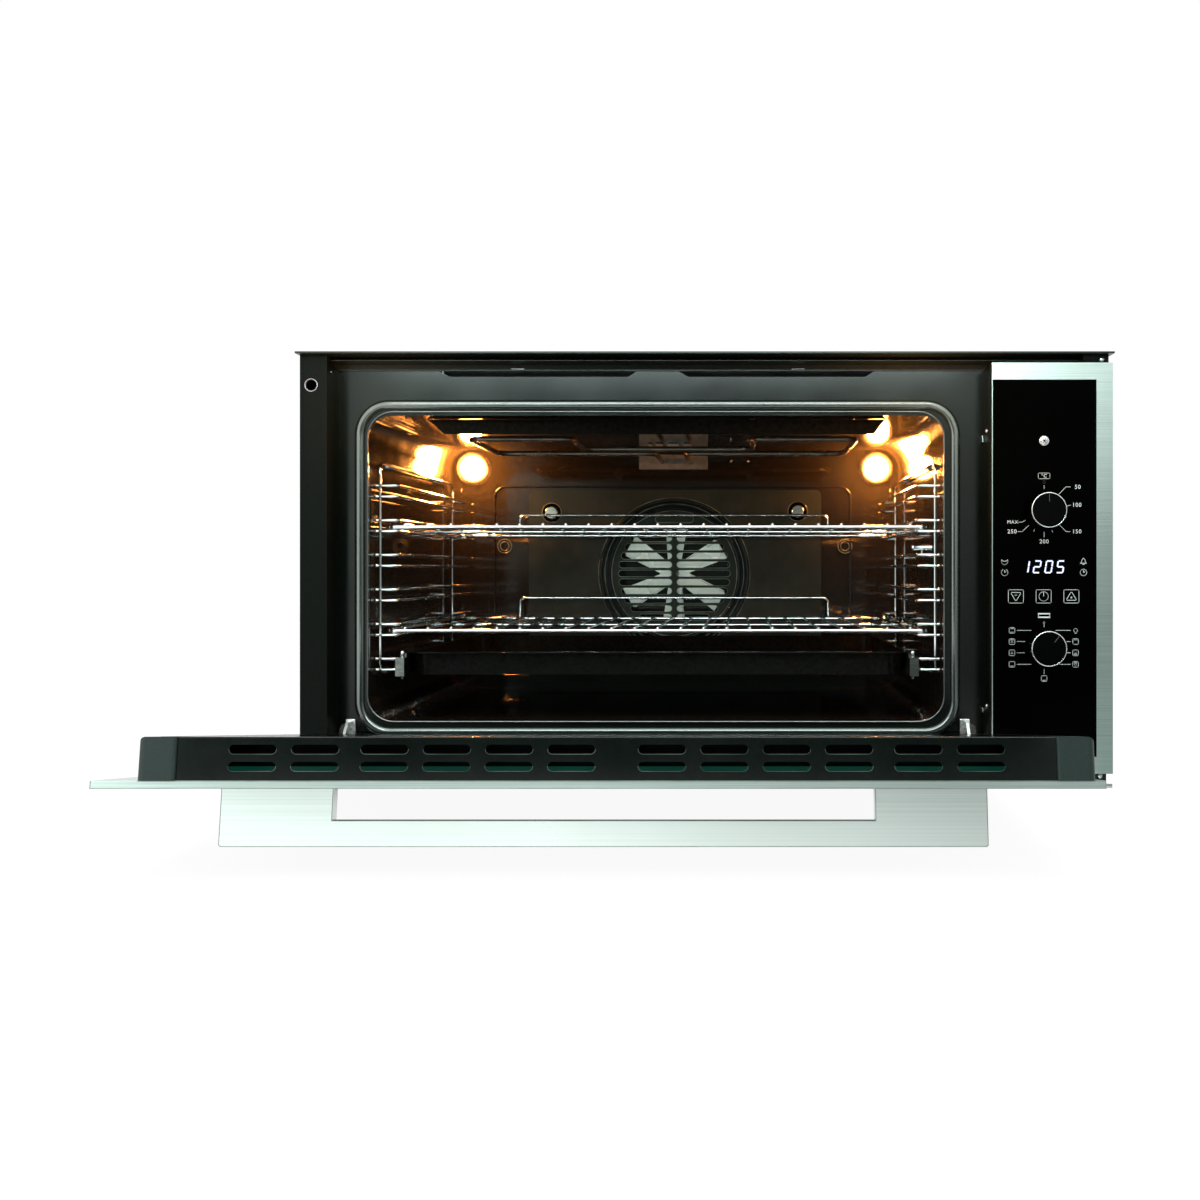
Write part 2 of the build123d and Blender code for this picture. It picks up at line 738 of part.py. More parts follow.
def air_duct():
    """Flat duct over the cavity, which leads the cooling air to the gap above the door."""
    x0 = -300.0
    x1 = 400.0
    y0 = frame_back + 1
    y1 = 345.0
    floor = block(x0, x1, y0, y1, duct_floor, duct_floor + sheet)
    left = block(x0, x0 + sheet, y0, y1, duct_floor, side_top)
    right = block(x1 - sheet, x1, y0, y1, duct_floor, side_top)
    back = block(x0, x1, y1 - sheet, y1, duct_floor, side_top)
    duct = fused([floor, left, right, back])
    return duct - block(blower_left + sheet, blower_right - sheet, blower_y - blower_radius + sheet,
                        blower_y - 10 - sheet, duct_floor - 1, duct_floor + 3)


def terminal_block():
    """Mains terminal block inside the back of the control compartment."""
    inner_back = chassis_depth - sheet
    body = block(345, 400, inner_back - 26, inner_back, 92, 116)
    for step in range(3):
        body -= rod_y(355 + 17 * step, inner_back - 27, inner_back - 16, 104, 4)
    return body


def cable_gland():
    """Gland through which the installer leads the mains cable."""
    back = chassis_depth
    sleeve = rod_y(gland_x, back - 14, back, gland_z, gland_radius - 0.1)
    collar = rod_y(gland_x, back, back + 6, gland_z, 15)
    return sleeve.fuse(collar) - rod_y(gland_x, back - 15, back + 7, gland_z, 5.5)


# ---------------------------------------------------------------- hinges
def hinge_arm(x):
    """Chassis arm of a door hinge: leaves its receiver through the front frame and holds the pin."""
    profile = make_face(Polyline((hinge_y - 6, hinge_z - 4), (hinge_y + 5, hinge_z - 6), (9, 50), (60, 50),
                                 (60, 68), (2, 68), (hinge_y - 6, hinge_z + 8), close=True))
    plane = Plane(origin=(x - 1.5, 0, 0), x_dir=(0, 1, 0), z_dir=(1, 0, 0))
    plate = extrude(plane * profile, amount=3)
    return plate - rod_x(x - 3, x + 3, hinge_y, hinge_z, hinge_pin_radius + running_gap)


def hinge_receiver(x):
    """Folded housing behind the front frame into which a hinge arm hooks."""
    box = block(x - 7, x + 7, frame_back, 120, 44, 82)
    return box - block(x - 1.6, x + 1.6, frame_back - 1, 61, 49.8, 68.2)


# ---------------------------------------------------------------- door, drawn closed
def door_outer_frame():
    """Brushed steel front of the door: bands at the top, left and bottom around the glass."""
    right_band = 2.5
    outer = block(left_edge, door_right, panel_face, panel_back, panel_bottom, panel_top)
    window = block(left_edge + band, door_right - right_band, panel_face - 1, panel_back - 1.4,
                   panel_bottom + band, panel_top - band)
    rebate = block(left_edge + band + 6, door_right - right_band - 6, panel_back - 2, panel_back + 1,
                   panel_bottom + band + 6, panel_top - band - 6)
    return outer - window - rebate


handle_screw_xs = (door_centre - 255, door_centre + 255)
glass_front = panel_back - 1.4 - panel_glass_sheet


def door_outer_glass():
    """Outer glass of the door, drilled for the handle screws."""
    glass = block(left_edge + band + 0.3, door_right - 2.8, glass_front, glass_front + panel_glass_sheet,
                  panel_bottom + band + 0.3, panel_top - band - 0.3)
    for x in handle_screw_xs:
        glass -= rod_y(x, glass_front - 1, panel_back, handle_z, 3)
    return glass


rail_sheet = 1.5
rail_top = 434.0
cross_rail_top = 44.0
arm_slot_top = 92.0


def door_upright():
    """Left upright of the door body: a folded tube, slotted at its foot for the hinge arm."""
    inner = body_left + rail_width
    tube = block(body_left, inner, panel_back, body_face, body_bottom, rail_top)
    tube -= block(body_left + rail_sheet, inner - rail_sheet, panel_back + rail_sheet, body_face - rail_sheet,
                  arm_slot_top + 4, rail_top - rail_sheet)
    arm_x = body_centre - hinge_arm_offset
    tube -= block(arm_x - 3, arm_x + 3, panel_back + 1, body_face + 1, body_bottom - 1, arm_slot_top)
    return tube - rod_x(body_left + 1, inner + 1, hinge_y, hinge_z, hinge_pin_radius + press_gap)


def door_inner_frame():
    """Frame of the door body: two uprights joined by a cross rail at the foot."""
    upright = door_upright()
    inner = body_left + rail_width
    rail = block(inner, body_right - rail_width, panel_back, body_face, body_bottom, cross_rail_top)
    rail -= block(inner - 1, body_right, panel_back + rail_sheet, body_face - rail_sheet,
                  body_bottom + rail_sheet, cross_rail_top - rail_sheet)
    return fused([upright, rail, mirrored(upright, body_centre)])


def hinge_pin():
    """Left hinge pin, held in the door's upright."""
    return rod_x(body_left + 1, body_left + rail_width, hinge_y, hinge_z, hinge_pin_radius)


vent_row_ys = (-13.5, -0.8)
vent_slot_length = 35.4
vent_slot_width = 6.9
vent_slot_offsets = (34.0, 80.8, 127.6, 174.4, 226.4, 273.4)
cap_width = 29.0
cap_rise = 3.0


def door_vent_cover():
    """Slotted cover along the top of the door, which lets cooling air through the door."""
    x0 = body_left + cap_width
    x1 = body_right - cap_width
    top = block(x0, x1, panel_back, body_face, panel_top - base_sheet, panel_top)
    lip = block(x0, x1, body_face - sheet, body_face, rail_top, panel_top)
    foot = block(x0, x1, panel_back, panel_back + sheet, rail_top, panel_top)
    cover = fused([top, lip, foot])
    top_edges = cover.edges().filter_by(Axis.X).group_by(Axis.Z)[-1].sort_by(Axis.Y)
    cover = fillet(top_edges[-1], 1.1)
    for y in vent_row_ys:
        for offset in vent_slot_offsets:
            for side in (-1, 1):
                slot = Pos(body_centre + side * offset, y) * SlotOverall(vent_slot_length, vent_slot_width)
                cover -= extrude(Plane.XY.offset(panel_top - 3) * slot, amount=4)
    return cover


def door_corner_cap():
    """Moulded cap on the upper left corner of the door body."""
    cap = block(body_left, body_left + cap_width, panel_back, body_face, rail_top, panel_top + cap_rise)
    corner = cap.edges().filter_by(Axis.Z).group_by(Axis.X)[0].sort_by(Axis.Y)[-1]
    outer_top = cap.edges().filter_by(Axis.Y).group_by(Axis.Z)[-1].sort_by(Axis.X)[0]
    cap = fillet([corner, outer_top], 6)
    inner_top = cap.edges().filter_by(Axis.Y).group_by(Axis.Z)[-1].sort_by(Axis.X)[-1]
    return fillet(inner_top, cap_rise - 0.4)


def door_middle_glass():
    """Middle glass, held between the uprights."""
    return block(body_left + rail_width, body_right - rail_width, -12, -8, cross_rail_top, rail_top)


def door_inner_glass():
    """Inner glass, flush with the back of the door body."""
    return block(body_left + rail_width, body_right - rail_width, body_face - 4, body_face, cross_rail_top, rail_top)


def door_handle():
    """Flat brushed bar handle: a plate on edge with a long window for the fingers."""
    y0 = panel_face - handle_reach
    depth = glass_front - y0
    outline = Pos(door_centre, y0 + depth / 2) * Rectangle(handle_width, depth)
    window_y = glass_front - handle_window_depth / 2
    outline -= Pos(door_centre, window_y) * Rectangle(handle_window_width, handle_window_depth)
    handle = extrude(Plane.XY.offset(handle_z - handle_thick / 2) * outline, amount=handle_thick)
    corners = handle.edges().filter_by(Axis.Z).group_by(Axis.Y)[0]
    handle = fillet(corners, 2)
    for x in handle_screw_xs:
        handle -= rod_y(x, glass_front - 14, glass_front + 1, handle_z, 2.5)
    return handle


def handle_screws():
    """Screws through the outer glass into the handle legs."""
    screws = []
    for x in handle_screw_xs:
        shank = rod_y(x, glass_front - 12, panel_back, handle_z, 2.5)
        screws.append(shank.fuse(rod_y(x, glass_front + panel_glass_sheet, -21.5, handle_z, 5)))
    return Compound(children=screws)


# ---------------------------------------------------------------- write every node
def pair(shape, centre):
    """A left piece and its mirror image, as two solids of one node."""
    return Compound(children=[shape, mirrored(shape, centre)])


def save_chassis():
    """Everything that stays still."""
    save("base_panel", base_panel())
    save("side_panels", pair(side_panel(), 0))
    save("rear_panel", rear_panel())
    save("top_cover", top_cover())
    save("mounting_flanges", Compound(children=[mounting_flange_left(), mounting_flange_right()]))
    save("control_box_wall", control_box_wall())
    save("top_trim", top_trim())
    save("cavity_front_frame", cavity_front_frame())
    save("door_seal", door_seal())
    save("cavity_liner", cavity_liner())
    save("cavity_rear_wall", cavity_rear_wall())
    save("cavity_supports", cavity_supports())
    save("insulation_blanket", insulation_blanket())
    save("fan_guard_panel", fan_guard_panel())
    save("guard_screws", guard_screws())
    save("fan_pan", fan_pan())
    save("convection_heater", convection_heater())
    save("fan_motor", fan_motor())
    save("grill_element", grill_element())
    save("grill_bracket", grill_bracket())
    save("ceiling_baffle", ceiling_baffle())
    save("bottom_element", bottom_element())
    save("lamp_lenses", Compound(children=[lamp_lens(x) for x in lamp_xs]))
    save("lamp_holders", Compound(children=[lamp_holder(x) for x in lamp_xs]))
    save("rack_ladders", pair(rack_ladder(), cavity_centre))
    save("runner_rails_fixed", pair(runner_fixed(), cavity_centre))
    save("hinge_arms", pair(hinge_arm(body_centre - hinge_arm_offset), body_centre))
    save("hinge_receivers", pair(hinge_receiver(body_centre - hinge_arm_offset), body_centre))
    save("control_panel_frame", control_panel_frame())
    save("control_glass", control_glass())
    save("control_carrier", control_carrier())
    save("clock_module", clock_module())
    save("thermostat_body", thermostat_body())
    save("selector_switch", selector_switch())
    save("cooling_fan_housing", cooling_fan_housing())
    save("cooling_fan_motor", cooling_fan_motor())
    save("air_duct", air_duct())
    save("terminal_block", terminal_block())
    save("cable_gland", cable_gland())


def save_moving_parts():
    """Fans, knobs, racks and tray."""
    save("fan_shaft", fan_shaft())
    save("fan_impeller", fan_impeller())
    save("cooling_rotor", cooling_rotor())
    for name, z in (("thermostat", thermostat_z), ("selector", selector_z)):
        save(f"{name}_knob_cap", knob_cap(z))
        save(f"{name}_spindle", knob_spindle(z))
    for name, level in shelf_levels.items():
        save(f"wire_shelf_{name}", wire_shelf(level))
    save("runner_slides", pair(runner_slide(), cavity_centre))
    save("baking_tray", baking_tray())


def save_door():
    """The door, turned open."""
    pieces = {
        "door_outer_frame": door_outer_frame(),
        "door_outer_glass": door_outer_glass(),
        "door_inner_frame": door_inner_frame(),
        "door_vent_cover": door_vent_cover(),
        "door_corner_caps": pair(door_corner_cap(), body_centre),
        "door_middle_glass": door_middle_glass(),
        "door_inner_glass": door_inner_glass(),
        "door_handle": door_handle(),
        "handle_screws": handle_screws(),
        "hinge_pins": pair(hinge_pin(), body_centre),
    }
    for name, piece in pieces.items():
        save(name, opened(piece))


save_chassis()
save_moving_parts()
save_door()
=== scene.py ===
"""Built-in wall oven with its door open: finishes, trim, printing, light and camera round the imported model."""

import math

import bmesh
import bpy
from mathutils import Matrix, Vector


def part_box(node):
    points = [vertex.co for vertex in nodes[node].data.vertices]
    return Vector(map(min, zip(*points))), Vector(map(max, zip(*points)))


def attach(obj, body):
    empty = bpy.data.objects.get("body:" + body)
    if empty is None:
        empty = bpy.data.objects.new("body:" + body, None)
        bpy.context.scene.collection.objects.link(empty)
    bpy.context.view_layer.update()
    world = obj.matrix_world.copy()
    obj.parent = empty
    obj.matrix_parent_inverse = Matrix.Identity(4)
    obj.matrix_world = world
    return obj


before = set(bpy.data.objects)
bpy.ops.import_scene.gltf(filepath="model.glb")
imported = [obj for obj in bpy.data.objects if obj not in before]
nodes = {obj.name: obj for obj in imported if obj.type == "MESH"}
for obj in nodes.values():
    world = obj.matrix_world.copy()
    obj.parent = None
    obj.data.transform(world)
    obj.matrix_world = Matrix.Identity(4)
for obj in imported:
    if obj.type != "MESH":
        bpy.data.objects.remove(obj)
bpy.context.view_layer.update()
MM = 0.001
FAN_X = -56.5
FAN_Z = 235.0
GUARD_FACE = 399.0


# ---------------------------------------------------------------- finishes
def new_finish(name):
    """A material with one Principled shader; returns (material, node tree, shader)."""
    material = bpy.data.materials.new(name)
    material.use_nodes = True
    tree = material.node_tree
    return material, tree, tree.nodes["Principled BSDF"]


def set_shader(shader, **values):
    """Constants straight on the shader's own sockets; an underscore stands for a space."""
    for key, value in values.items():
        shader.inputs[key.replace("_", " ")].default_value = value


def object_coordinates(tree, stretch):
    """Object coordinates, scaled differently along each axis so that a pattern can run one way."""
    coordinates = tree.nodes.new("ShaderNodeTexCoord")
    mapping = tree.nodes.new("ShaderNodeMapping")
    mapping.inputs["Scale"].default_value = stretch
    tree.links.new(coordinates.outputs["Object"], mapping.inputs["Vector"])
    return mapping.outputs["Vector"]


def noise(tree, stretch, scale, detail=3.0, roughness=0.55):
    """A noise value over the object."""
    texture = tree.nodes.new("ShaderNodeTexNoise")
    texture.inputs["Scale"].default_value = scale
    texture.inputs["Detail"].default_value = detail
    texture.inputs["Roughness"].default_value = roughness
    tree.links.new(object_coordinates(tree, stretch), texture.inputs["Vector"])
    return texture.outputs["Fac"]


def spread(tree, value, low, high, start=0.3, end=0.7):
    """Map a noise value onto a range."""
    node = tree.nodes.new("ShaderNodeMapRange")
    node.inputs["From Min"].default_value = start
    node.inputs["From Max"].default_value = end
    node.inputs["To Min"].default_value = low
    node.inputs["To Max"].default_value = high
    tree.links.new(value, node.inputs["Value"])
    return node.outputs["Result"]


def blend_colours(tree, value, first, second):
    """Colour between two tones."""
    ramp = tree.nodes.new("ShaderNodeValToRGB")
    ramp.color_ramp.elements[0].position = 0.35
    ramp.color_ramp.elements[1].position = 0.65
    ramp.color_ramp.elements[0].color = (*first, 1)
    ramp.color_ramp.elements[1].color = (*second, 1)
    tree.links.new(value, ramp.inputs["Fac"])
    return ramp.outputs["Color"]


def bump(tree, shader, value, strength, distance=0.0004):
    """Fine relief from a noise value."""
    node = tree.nodes.new("ShaderNodeBump")
    node.inputs["Strength"].default_value = strength
    node.inputs["Distance"].default_value = distance
    tree.links.new(value, node.inputs["Height"])
    tree.links.new(node.outputs["Normal"], shader.inputs["Normal"])


def worked_surface(name, tones, rough, stretch=(1, 1, 1), scale=60.0, relief=0.0, cloud=None, **sockets):
    """A finish whose tone, gloss and relief all wander: brushed along a stretch, or mottled."""
    material, tree, shader = new_finish(name)
    grain = noise(tree, stretch, scale)
    mottle = noise(tree, (1, 1, 1), 9.0) if cloud is None else noise(tree, (1, 1, 1), cloud)
    tree.links.new(blend_colours(tree, grain, *tones), shader.inputs["Base Color"])
    tree.links.new(spread(tree, mottle, *rough), shader.inputs["Roughness"])
    if relief:
        bump(tree, shader, grain, relief)
    set_shader(shader, **sockets)
    return material


def guard_surface():
    """Satin enamel of the fan guard with painted shade: near black in a band round the slots where the pressed
    rings run, and darker over the slotted area itself.
    """
    material = worked_surface("guard_enamel_gloss", ((0.024, 0.030, 0.021), (0.038, 0.045, 0.034)),
                              (0.12, 0.20), scale=14.0, cloud=18.0, Specular_IOR_Level=0.35)
    tree = material.node_tree
    shader = next(node for node in tree.nodes if node.type == "BSDF_PRINCIPLED")
    base = shader.inputs["Base Color"].links[0].from_socket
    place = tree.nodes.new("ShaderNodeTexCoord")
    reach = tree.nodes.new("ShaderNodeVectorMath")
    reach.operation = "DISTANCE"
    reach.inputs[1].default_value = (FAN_X * MM, GUARD_FACE * MM, FAN_Z * MM)
    tree.links.new(place.outputs["Object"], reach.inputs[0])
    # Painted shade by distance from the fan's axis: darker inside the slots' circle, near black in the ring
    # band, plain enamel outside.
    guard_shade_ramp = tree.nodes.new("ShaderNodeValToRGB")
    guard_shade_ramp.color_ramp.elements[0].color = (0.45, 0.45, 0.45, 1)
    for place_on_ramp, level in ((0.091, 0.45), (0.094, 0.0), (0.108, 0.0), (0.111, 1.0)):
        stop = guard_shade_ramp.color_ramp.elements.new(place_on_ramp)
        stop.color = (level, level, level, 1)
    tree.links.new(reach.outputs["Value"], guard_shade_ramp.inputs["Fac"])
    blend = tree.nodes.new("ShaderNodeMix")
    blend.data_type = "RGBA"
    blend.inputs["A"].default_value = (0.002, 0.0025, 0.002, 1)
    tree.links.new(guard_shade_ramp.outputs["Color"], blend.inputs["Factor"])
    tree.links.new(base, blend.inputs["B"])
    tree.links.new(blend.outputs["Result"], shader.inputs["Base Color"])
    return material


def brushed_steel(name, stretch, tones=((0.47, 0.55, 0.525), (0.62, 0.70, 0.675))):
    """Stainless steel with a fine one-way grain."""
    return worked_surface(name, tones, (0.27, 0.32), stretch, 26.0, 0.06, 5.0, Metallic=1.0)


def glow(name, colour, strength):
    """Light that a lit segment or capsule gives off, a little uneven over its face. Also used for a painted glow
    that is no lamp.
    """
    material, tree, shader = new_finish(name)
    wander = noise(tree, (1, 1, 1), 120.0)
    tree.links.new(spread(tree, wander, strength * 0.85, strength * 1.1), shader.inputs["Emission Strength"])
    set_shader(shader, Base_Color=(0.02, 0.02, 0.02, 1), Emission_Color=(*colour, 1), Roughness=0.4)
    return material


def clear_glass(name, tint, rough, alpha):
    """Thin sheet glass that is seen through."""
    material, tree, shader = new_finish(name)
    smear = noise(tree, (1, 1, 1), 14.0)
    tree.links.new(spread(tree, smear, rough, rough + 0.05), shader.inputs["Roughness"])
    set_shader(shader, Base_Color=(*tint, 1), Alpha=alpha, IOR=1.5)
    return material


def make_finishes():
    """Every finish of the oven, by the maker's words."""
    return {
        "steel_across": brushed_steel("steel_brushed_across", (0.25, 60, 60)),
        "steel_handle": brushed_steel("handle_steel_brushed", (0.05, 40, 40),
                                      ((0.70, 0.745, 0.73), (0.78, 0.82, 0.805))),
        "black_paint": worked_surface("black_paint_satin", ((0.0025, 0.004, 0.003), (0.004, 0.006, 0.0045)),
                                      (0.32, 0.42), scale=400.0, relief=0.04, Specular_IOR_Level=0.06),
        "trim_paint": worked_surface("trim_paint_satin", ((0.006, 0.009, 0.008), (0.010, 0.014, 0.012)),
                                     (0.28, 0.36), scale=400.0, relief=0.04, Specular_IOR_Level=0.3),
        "front_enamel": worked_surface("front_enamel_gloss", ((0.0015, 0.004, 0.003), (0.003, 0.006, 0.0045)),
                                       (0.14, 0.22), scale=180.0, relief=0.02, cloud=14.0,
                                       Specular_IOR_Level=0.28),
        "cavity_enamel": worked_surface("cavity_enamel_gloss", ((0.008, 0.007, 0.005), (0.014, 0.012, 0.009)),
                                        (0.045, 0.10), scale=300.0, relief=0.02, cloud=18.0,
                                        Specular_IOR_Level=0.5),
        "guard_enamel": guard_surface(),
        "seal": worked_surface("seal_silicone", ((0.010, 0.020, 0.016), (0.014, 0.026, 0.021)), (0.14, 0.20),
                               scale=260.0, relief=0.02, Specular_IOR_Level=0.6, IOR=2.2),
        "zinc_sheet": worked_surface("zinc_sheet", ((0.42, 0.43, 0.44), (0.55, 0.56, 0.57)), (0.35, 0.5),
                                     scale=38.0, relief=0.03, cloud=30.0, Metallic=1.0),
        "zinc_bright": worked_surface("zinc_bright", ((0.62, 0.65, 0.64), (0.74, 0.77, 0.76)), (0.2, 0.3),
                                      scale=140.0, relief=0.05, Metallic=1.0),
        "chrome_wire": worked_surface("chrome_wire", ((0.70, 0.74, 0.76), (0.80, 0.84, 0.86)), (0.05, 0.10),
                                      scale=90.0, relief=0.04, Metallic=1.0),
        "rail_steel": worked_surface("rail_steel", ((0.12, 0.13, 0.12), (0.20, 0.21, 0.20)), (0.20, 0.28),
                                     (1, 0.05, 8), 60.0, 0.06, Metallic=1.0),
        "element": worked_surface("element_heat_dark", ((0.13, 0.11, 0.09), (0.24, 0.21, 0.17)),
                                  (0.20, 0.32), scale=60.0, relief=0.1, Metallic=0.9),
        "fan_aluminium": worked_surface("fan_aluminium", ((0.80, 0.84, 0.79), (0.92, 0.95, 0.90)),
                                        (0.22, 0.32), scale=70.0, relief=0.05, Metallic=0.35),
        "wool": worked_surface("mineral_wool", ((0.55, 0.50, 0.34), (0.78, 0.73, 0.55)), (0.9, 1.0),
                               (1, 1, 4), 220.0, 0.9, Sheen_Weight=0.3),
        "ceramic": worked_surface("lamp_ceramic", ((0.78, 0.77, 0.72), (0.86, 0.85, 0.8)), (0.5, 0.6),
                                  scale=200.0, relief=0.05),
        "panel_glass": worked_surface("panel_glass_black", ((0.0004, 0.0004, 0.0004), (0.0007, 0.0007, 0.0007)),
                                      (0.03, 0.06), scale=8.0, Specular_IOR_Level=0.01),
        "knob_black": worked_surface("knob_black_gloss", ((0.0008, 0.0009, 0.0010), (0.0014, 0.0015, 0.0016)),
                                     (0.10, 0.16), scale=160.0, relief=0.02, Specular_IOR_Level=0.04),
        "dark_plastic": worked_surface("cap_plastic_dark", ((0.012, 0.027, 0.023), (0.016, 0.034, 0.029)),
                                       (0.4, 0.5), scale=900.0, relief=0.25, Specular_IOR_Level=0.35),
        "switch_plastic": worked_surface("switch_plastic", ((0.6, 0.6, 0.56), (0.7, 0.7, 0.66)), (0.4, 0.5),
                                         scale=300.0, relief=0.05),
        "board_plastic": worked_surface("board_plastic", ((0.02, 0.02, 0.02), (0.04, 0.04, 0.04)),
                                        (0.45, 0.55), scale=300.0, relief=0.05),
        "motor_steel": worked_surface("motor_steel", ((0.28, 0.28, 0.29), (0.42, 0.42, 0.43)), (0.35, 0.5),
                                      scale=90.0, relief=0.06, Metallic=0.9),
        "door_glass": clear_glass("door_glass_tinted", (0.006, 0.035, 0.028), 0.03, 0.55),
        "lamp_glass": clear_glass("lamp_glass_moulded", (1.0, 0.86, 0.66), 0.05, 0.3),
        "lamp_glow": glow("lamp_filament_glow", (1.0, 0.55, 0.20), 34.0),
        "bracket_dark": worked_surface("bracket_heat_dark", ((0.14, 0.15, 0.13), (0.20, 0.21, 0.18)),
                                       (0.3, 0.4), scale=120.0, relief=0.05, Metallic=0.2),
        "ring_chrome": worked_surface("ring_chrome", ((0.90, 0.93, 0.93), (0.95, 0.98, 0.98)), (0.12, 0.2),
                                      scale=90.0, Metallic=0.75),
        # Painted glow, no lamp: stands in for light coming through the door's green glass, seen in the vent
        # slots.
        "glass_painted_glow": glow("green_glass_painted_glow", (0.0, 1.0, 0.66), 0.032),
        # Lighter enamel that paints highlights on slot rims, rolled edges, ring beads and bosses.
        "rim_highlight": worked_surface("rim_highlight_paint", ((0.05, 0.07, 0.06), (0.16, 0.20, 0.18)), (0.2, 0.3),
                                   (1, 1, 1), 24.0, Metallic=0.3),
        # Darker steel that paints the dark reflection along broken edges.
        "edge_painted_reflection": worked_surface("steel_edge_painted_reflection", ((0.22, 0.25, 0.23), (0.34, 0.38, 0.36)), (0.3, 0.4),
                                     scale=30.0, Metallic=0.6),
        "tray_enamel": worked_surface("tray_enamel_gloss", ((0.004, 0.004, 0.003), (0.008, 0.008, 0.007)),
                                      (0.06, 0.12), scale=200.0, relief=0.02, cloud=18.0,
                                      Specular_IOR_Level=0.04),
        "display": glow("display_segment", (0.66, 0.72, 1.0), 1.7),
        "pointer_grey": worked_surface("pointer_grey", ((0.05, 0.06, 0.06), (0.08, 0.09, 0.09)), (0.4, 0.5),
                                       scale=500.0),
        "print_white": worked_surface("print_white", ((0.80, 0.97, 0.95), (0.86, 1.0, 0.99)), (0.5, 0.6),
                                      scale=500.0),
    }


finish = make_finishes()

node_finishes = {
    "zinc_sheet": ("base_panel", "side_panels", "rear_panel", "top_cover", "cavity_supports",
                   "hinge_receivers", "control_carrier", "cooling_fan_housing", "air_duct"),
    "black_paint": ("mounting_flanges", "control_box_wall", "door_inner_frame"),
    "trim_paint": ("top_trim",),
    "front_enamel": ("cavity_front_frame", "door_vent_cover"),
    "tray_enamel": ("baking_tray", "ceiling_baffle"),
    "cavity_enamel": ("cavity_liner", "cavity_rear_wall", "fan_pan"),
    "guard_enamel": ("fan_guard_panel",),
    "seal": ("door_seal",),
    "wool": ("insulation_blanket",),
    "bracket_dark": ("grill_bracket",),
    "zinc_bright": ("guard_screws", "hinge_arms", "hinge_pins", "handle_screws", "fan_shaft",
                    "thermostat_spindle", "selector_spindle"),
    "element": ("convection_heater", "grill_element", "bottom_element"),
    "motor_steel": ("fan_motor", "cooling_fan_motor", "cooling_rotor"),
    "lamp_glass": ("lamp_lenses",),
    "ceramic": ("lamp_holders",),
    "chrome_wire": ("rack_ladders", "wire_shelf_upper", "wire_shelf_lower"),
    "rail_steel": ("runner_rails_fixed", "runner_slides"),
    "steel_across": ("control_panel_frame", "door_outer_frame"),
    "steel_handle": ("door_handle",),
    "panel_glass": ("control_glass", "door_outer_glass"),
    "door_glass": ("door_middle_glass", "door_inner_glass"),
    "knob_black": ("thermostat_knob_cap", "selector_knob_cap"),
    "dark_plastic": ("door_corner_caps",),
    "fan_aluminium": ("fan_impeller",),
    "switch_plastic": ("thermostat_body", "selector_switch", "terminal_block"),
    "board_plastic": ("clock_module", "cable_gland"),
}
for finish_name, names in node_finishes.items():
    for node_name in names:
        for material_slot in nodes[node_name].material_slots:
            material_slot.material = finish[finish_name]


# ---------------------------------------------------------------- making pieces
def add_piece(name, mesh, finish_name, body, smooth=False):
    """Put a finished mesh in the scene, riding on its body."""
    for polygon in mesh.polygons:
        polygon.use_smooth = smooth
    mesh.materials.clear()
    mesh.materials.append(finish[finish_name])
    made = bpy.data.objects.new(name, mesh)
    bpy.context.scene.collection.objects.link(made)
    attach(made, body)
    return made


def mesh_from(name, bm):
    """Turn a bmesh into a mesh with outward faces."""
    bmesh.ops.recalc_face_normals(bm, faces=bm.faces)
    mesh = bpy.data.meshes.new(name)
    bm.to_mesh(mesh)
    bm.free()
    return mesh


def add_bar(bm, start, end, width, y, thick):
    """A flat bar on a front-facing surface between two (x, z) points, in metres."""
    a = Vector(start)
    b = Vector(end)
    along = (b - a).normalized() * width / 2
    side = Vector((-along.y, along.x))
    ring = [a - along - side, b + along - side, b + along + side, a - along + side]
    front = [bm.verts.new((p.x, y - thick, p.y)) for p in ring]
    back = [bm.verts.new((p.x, y, p.y)) for p in ring]
    bm.faces.new(front)
    bm.faces.new(back[::-1])
    for i in range(4):
        j = (i + 1) % 4
        bm.faces.new((front[j], front[i], back[i], back[j]))


def add_stroke(bm, points, width, y, thick, closed=False):
    """A printed line through several (x, z) points."""
    ends = points[1:] + points[:1] if closed else points[1:]
    for start, end in zip(points, ends):
        add_bar(bm, start, end, width, y, thick)


def lathe_mesh(name, profile, centre, steps=48, axis="Y"):
    """Spin a closed (radius, depth) profile about an axis through a centre."""
    bm = bmesh.new()
    rings = []
    for step in range(steps):
        angle = 2 * math.pi * step / steps
        cos_a = math.cos(angle)
        sin_a = math.sin(angle)
        ring = []
        for radius, depth in profile:
            across = (radius * cos_a, radius * sin_a)
            place = (across[0], depth, across[1]) if axis == "Y" else (depth, *across)
            ring.append(bm.verts.new(Vector(place) + Vector(centre)))
        rings.append(ring)
    for i, ring in enumerate(rings):
        after = rings[(i + 1) % steps]
        for k in range(len(profile)):
            n = (k + 1) % len(profile)
            bm.faces.new((ring[k], ring[n], after[n], after[k]))
    bmesh.ops.remove_doubles(bm, verts=bm.verts, dist=1e-6)
    return mesh_from(name, bm)


def rounded_loop(x0, x1, z0, z1, radius, steps=10):
    """Points round a rectangle with rounded corners, anticlockwise as seen from the front."""
    corners = ((x1 - radius, z1 - radius, 0), (x0 + radius, z1 - radius, 90),
               (x0 + radius, z0 + radius, 180), (x1 - radius, z0 + radius, 270))
    points = []
    for cx, cz, start in corners:
        for step in range(steps + 1):
            angle = math.radians(start + 90 * step / steps)
            points.append((cx + radius * math.cos(angle), cz + radius * math.sin(angle)))
    return points


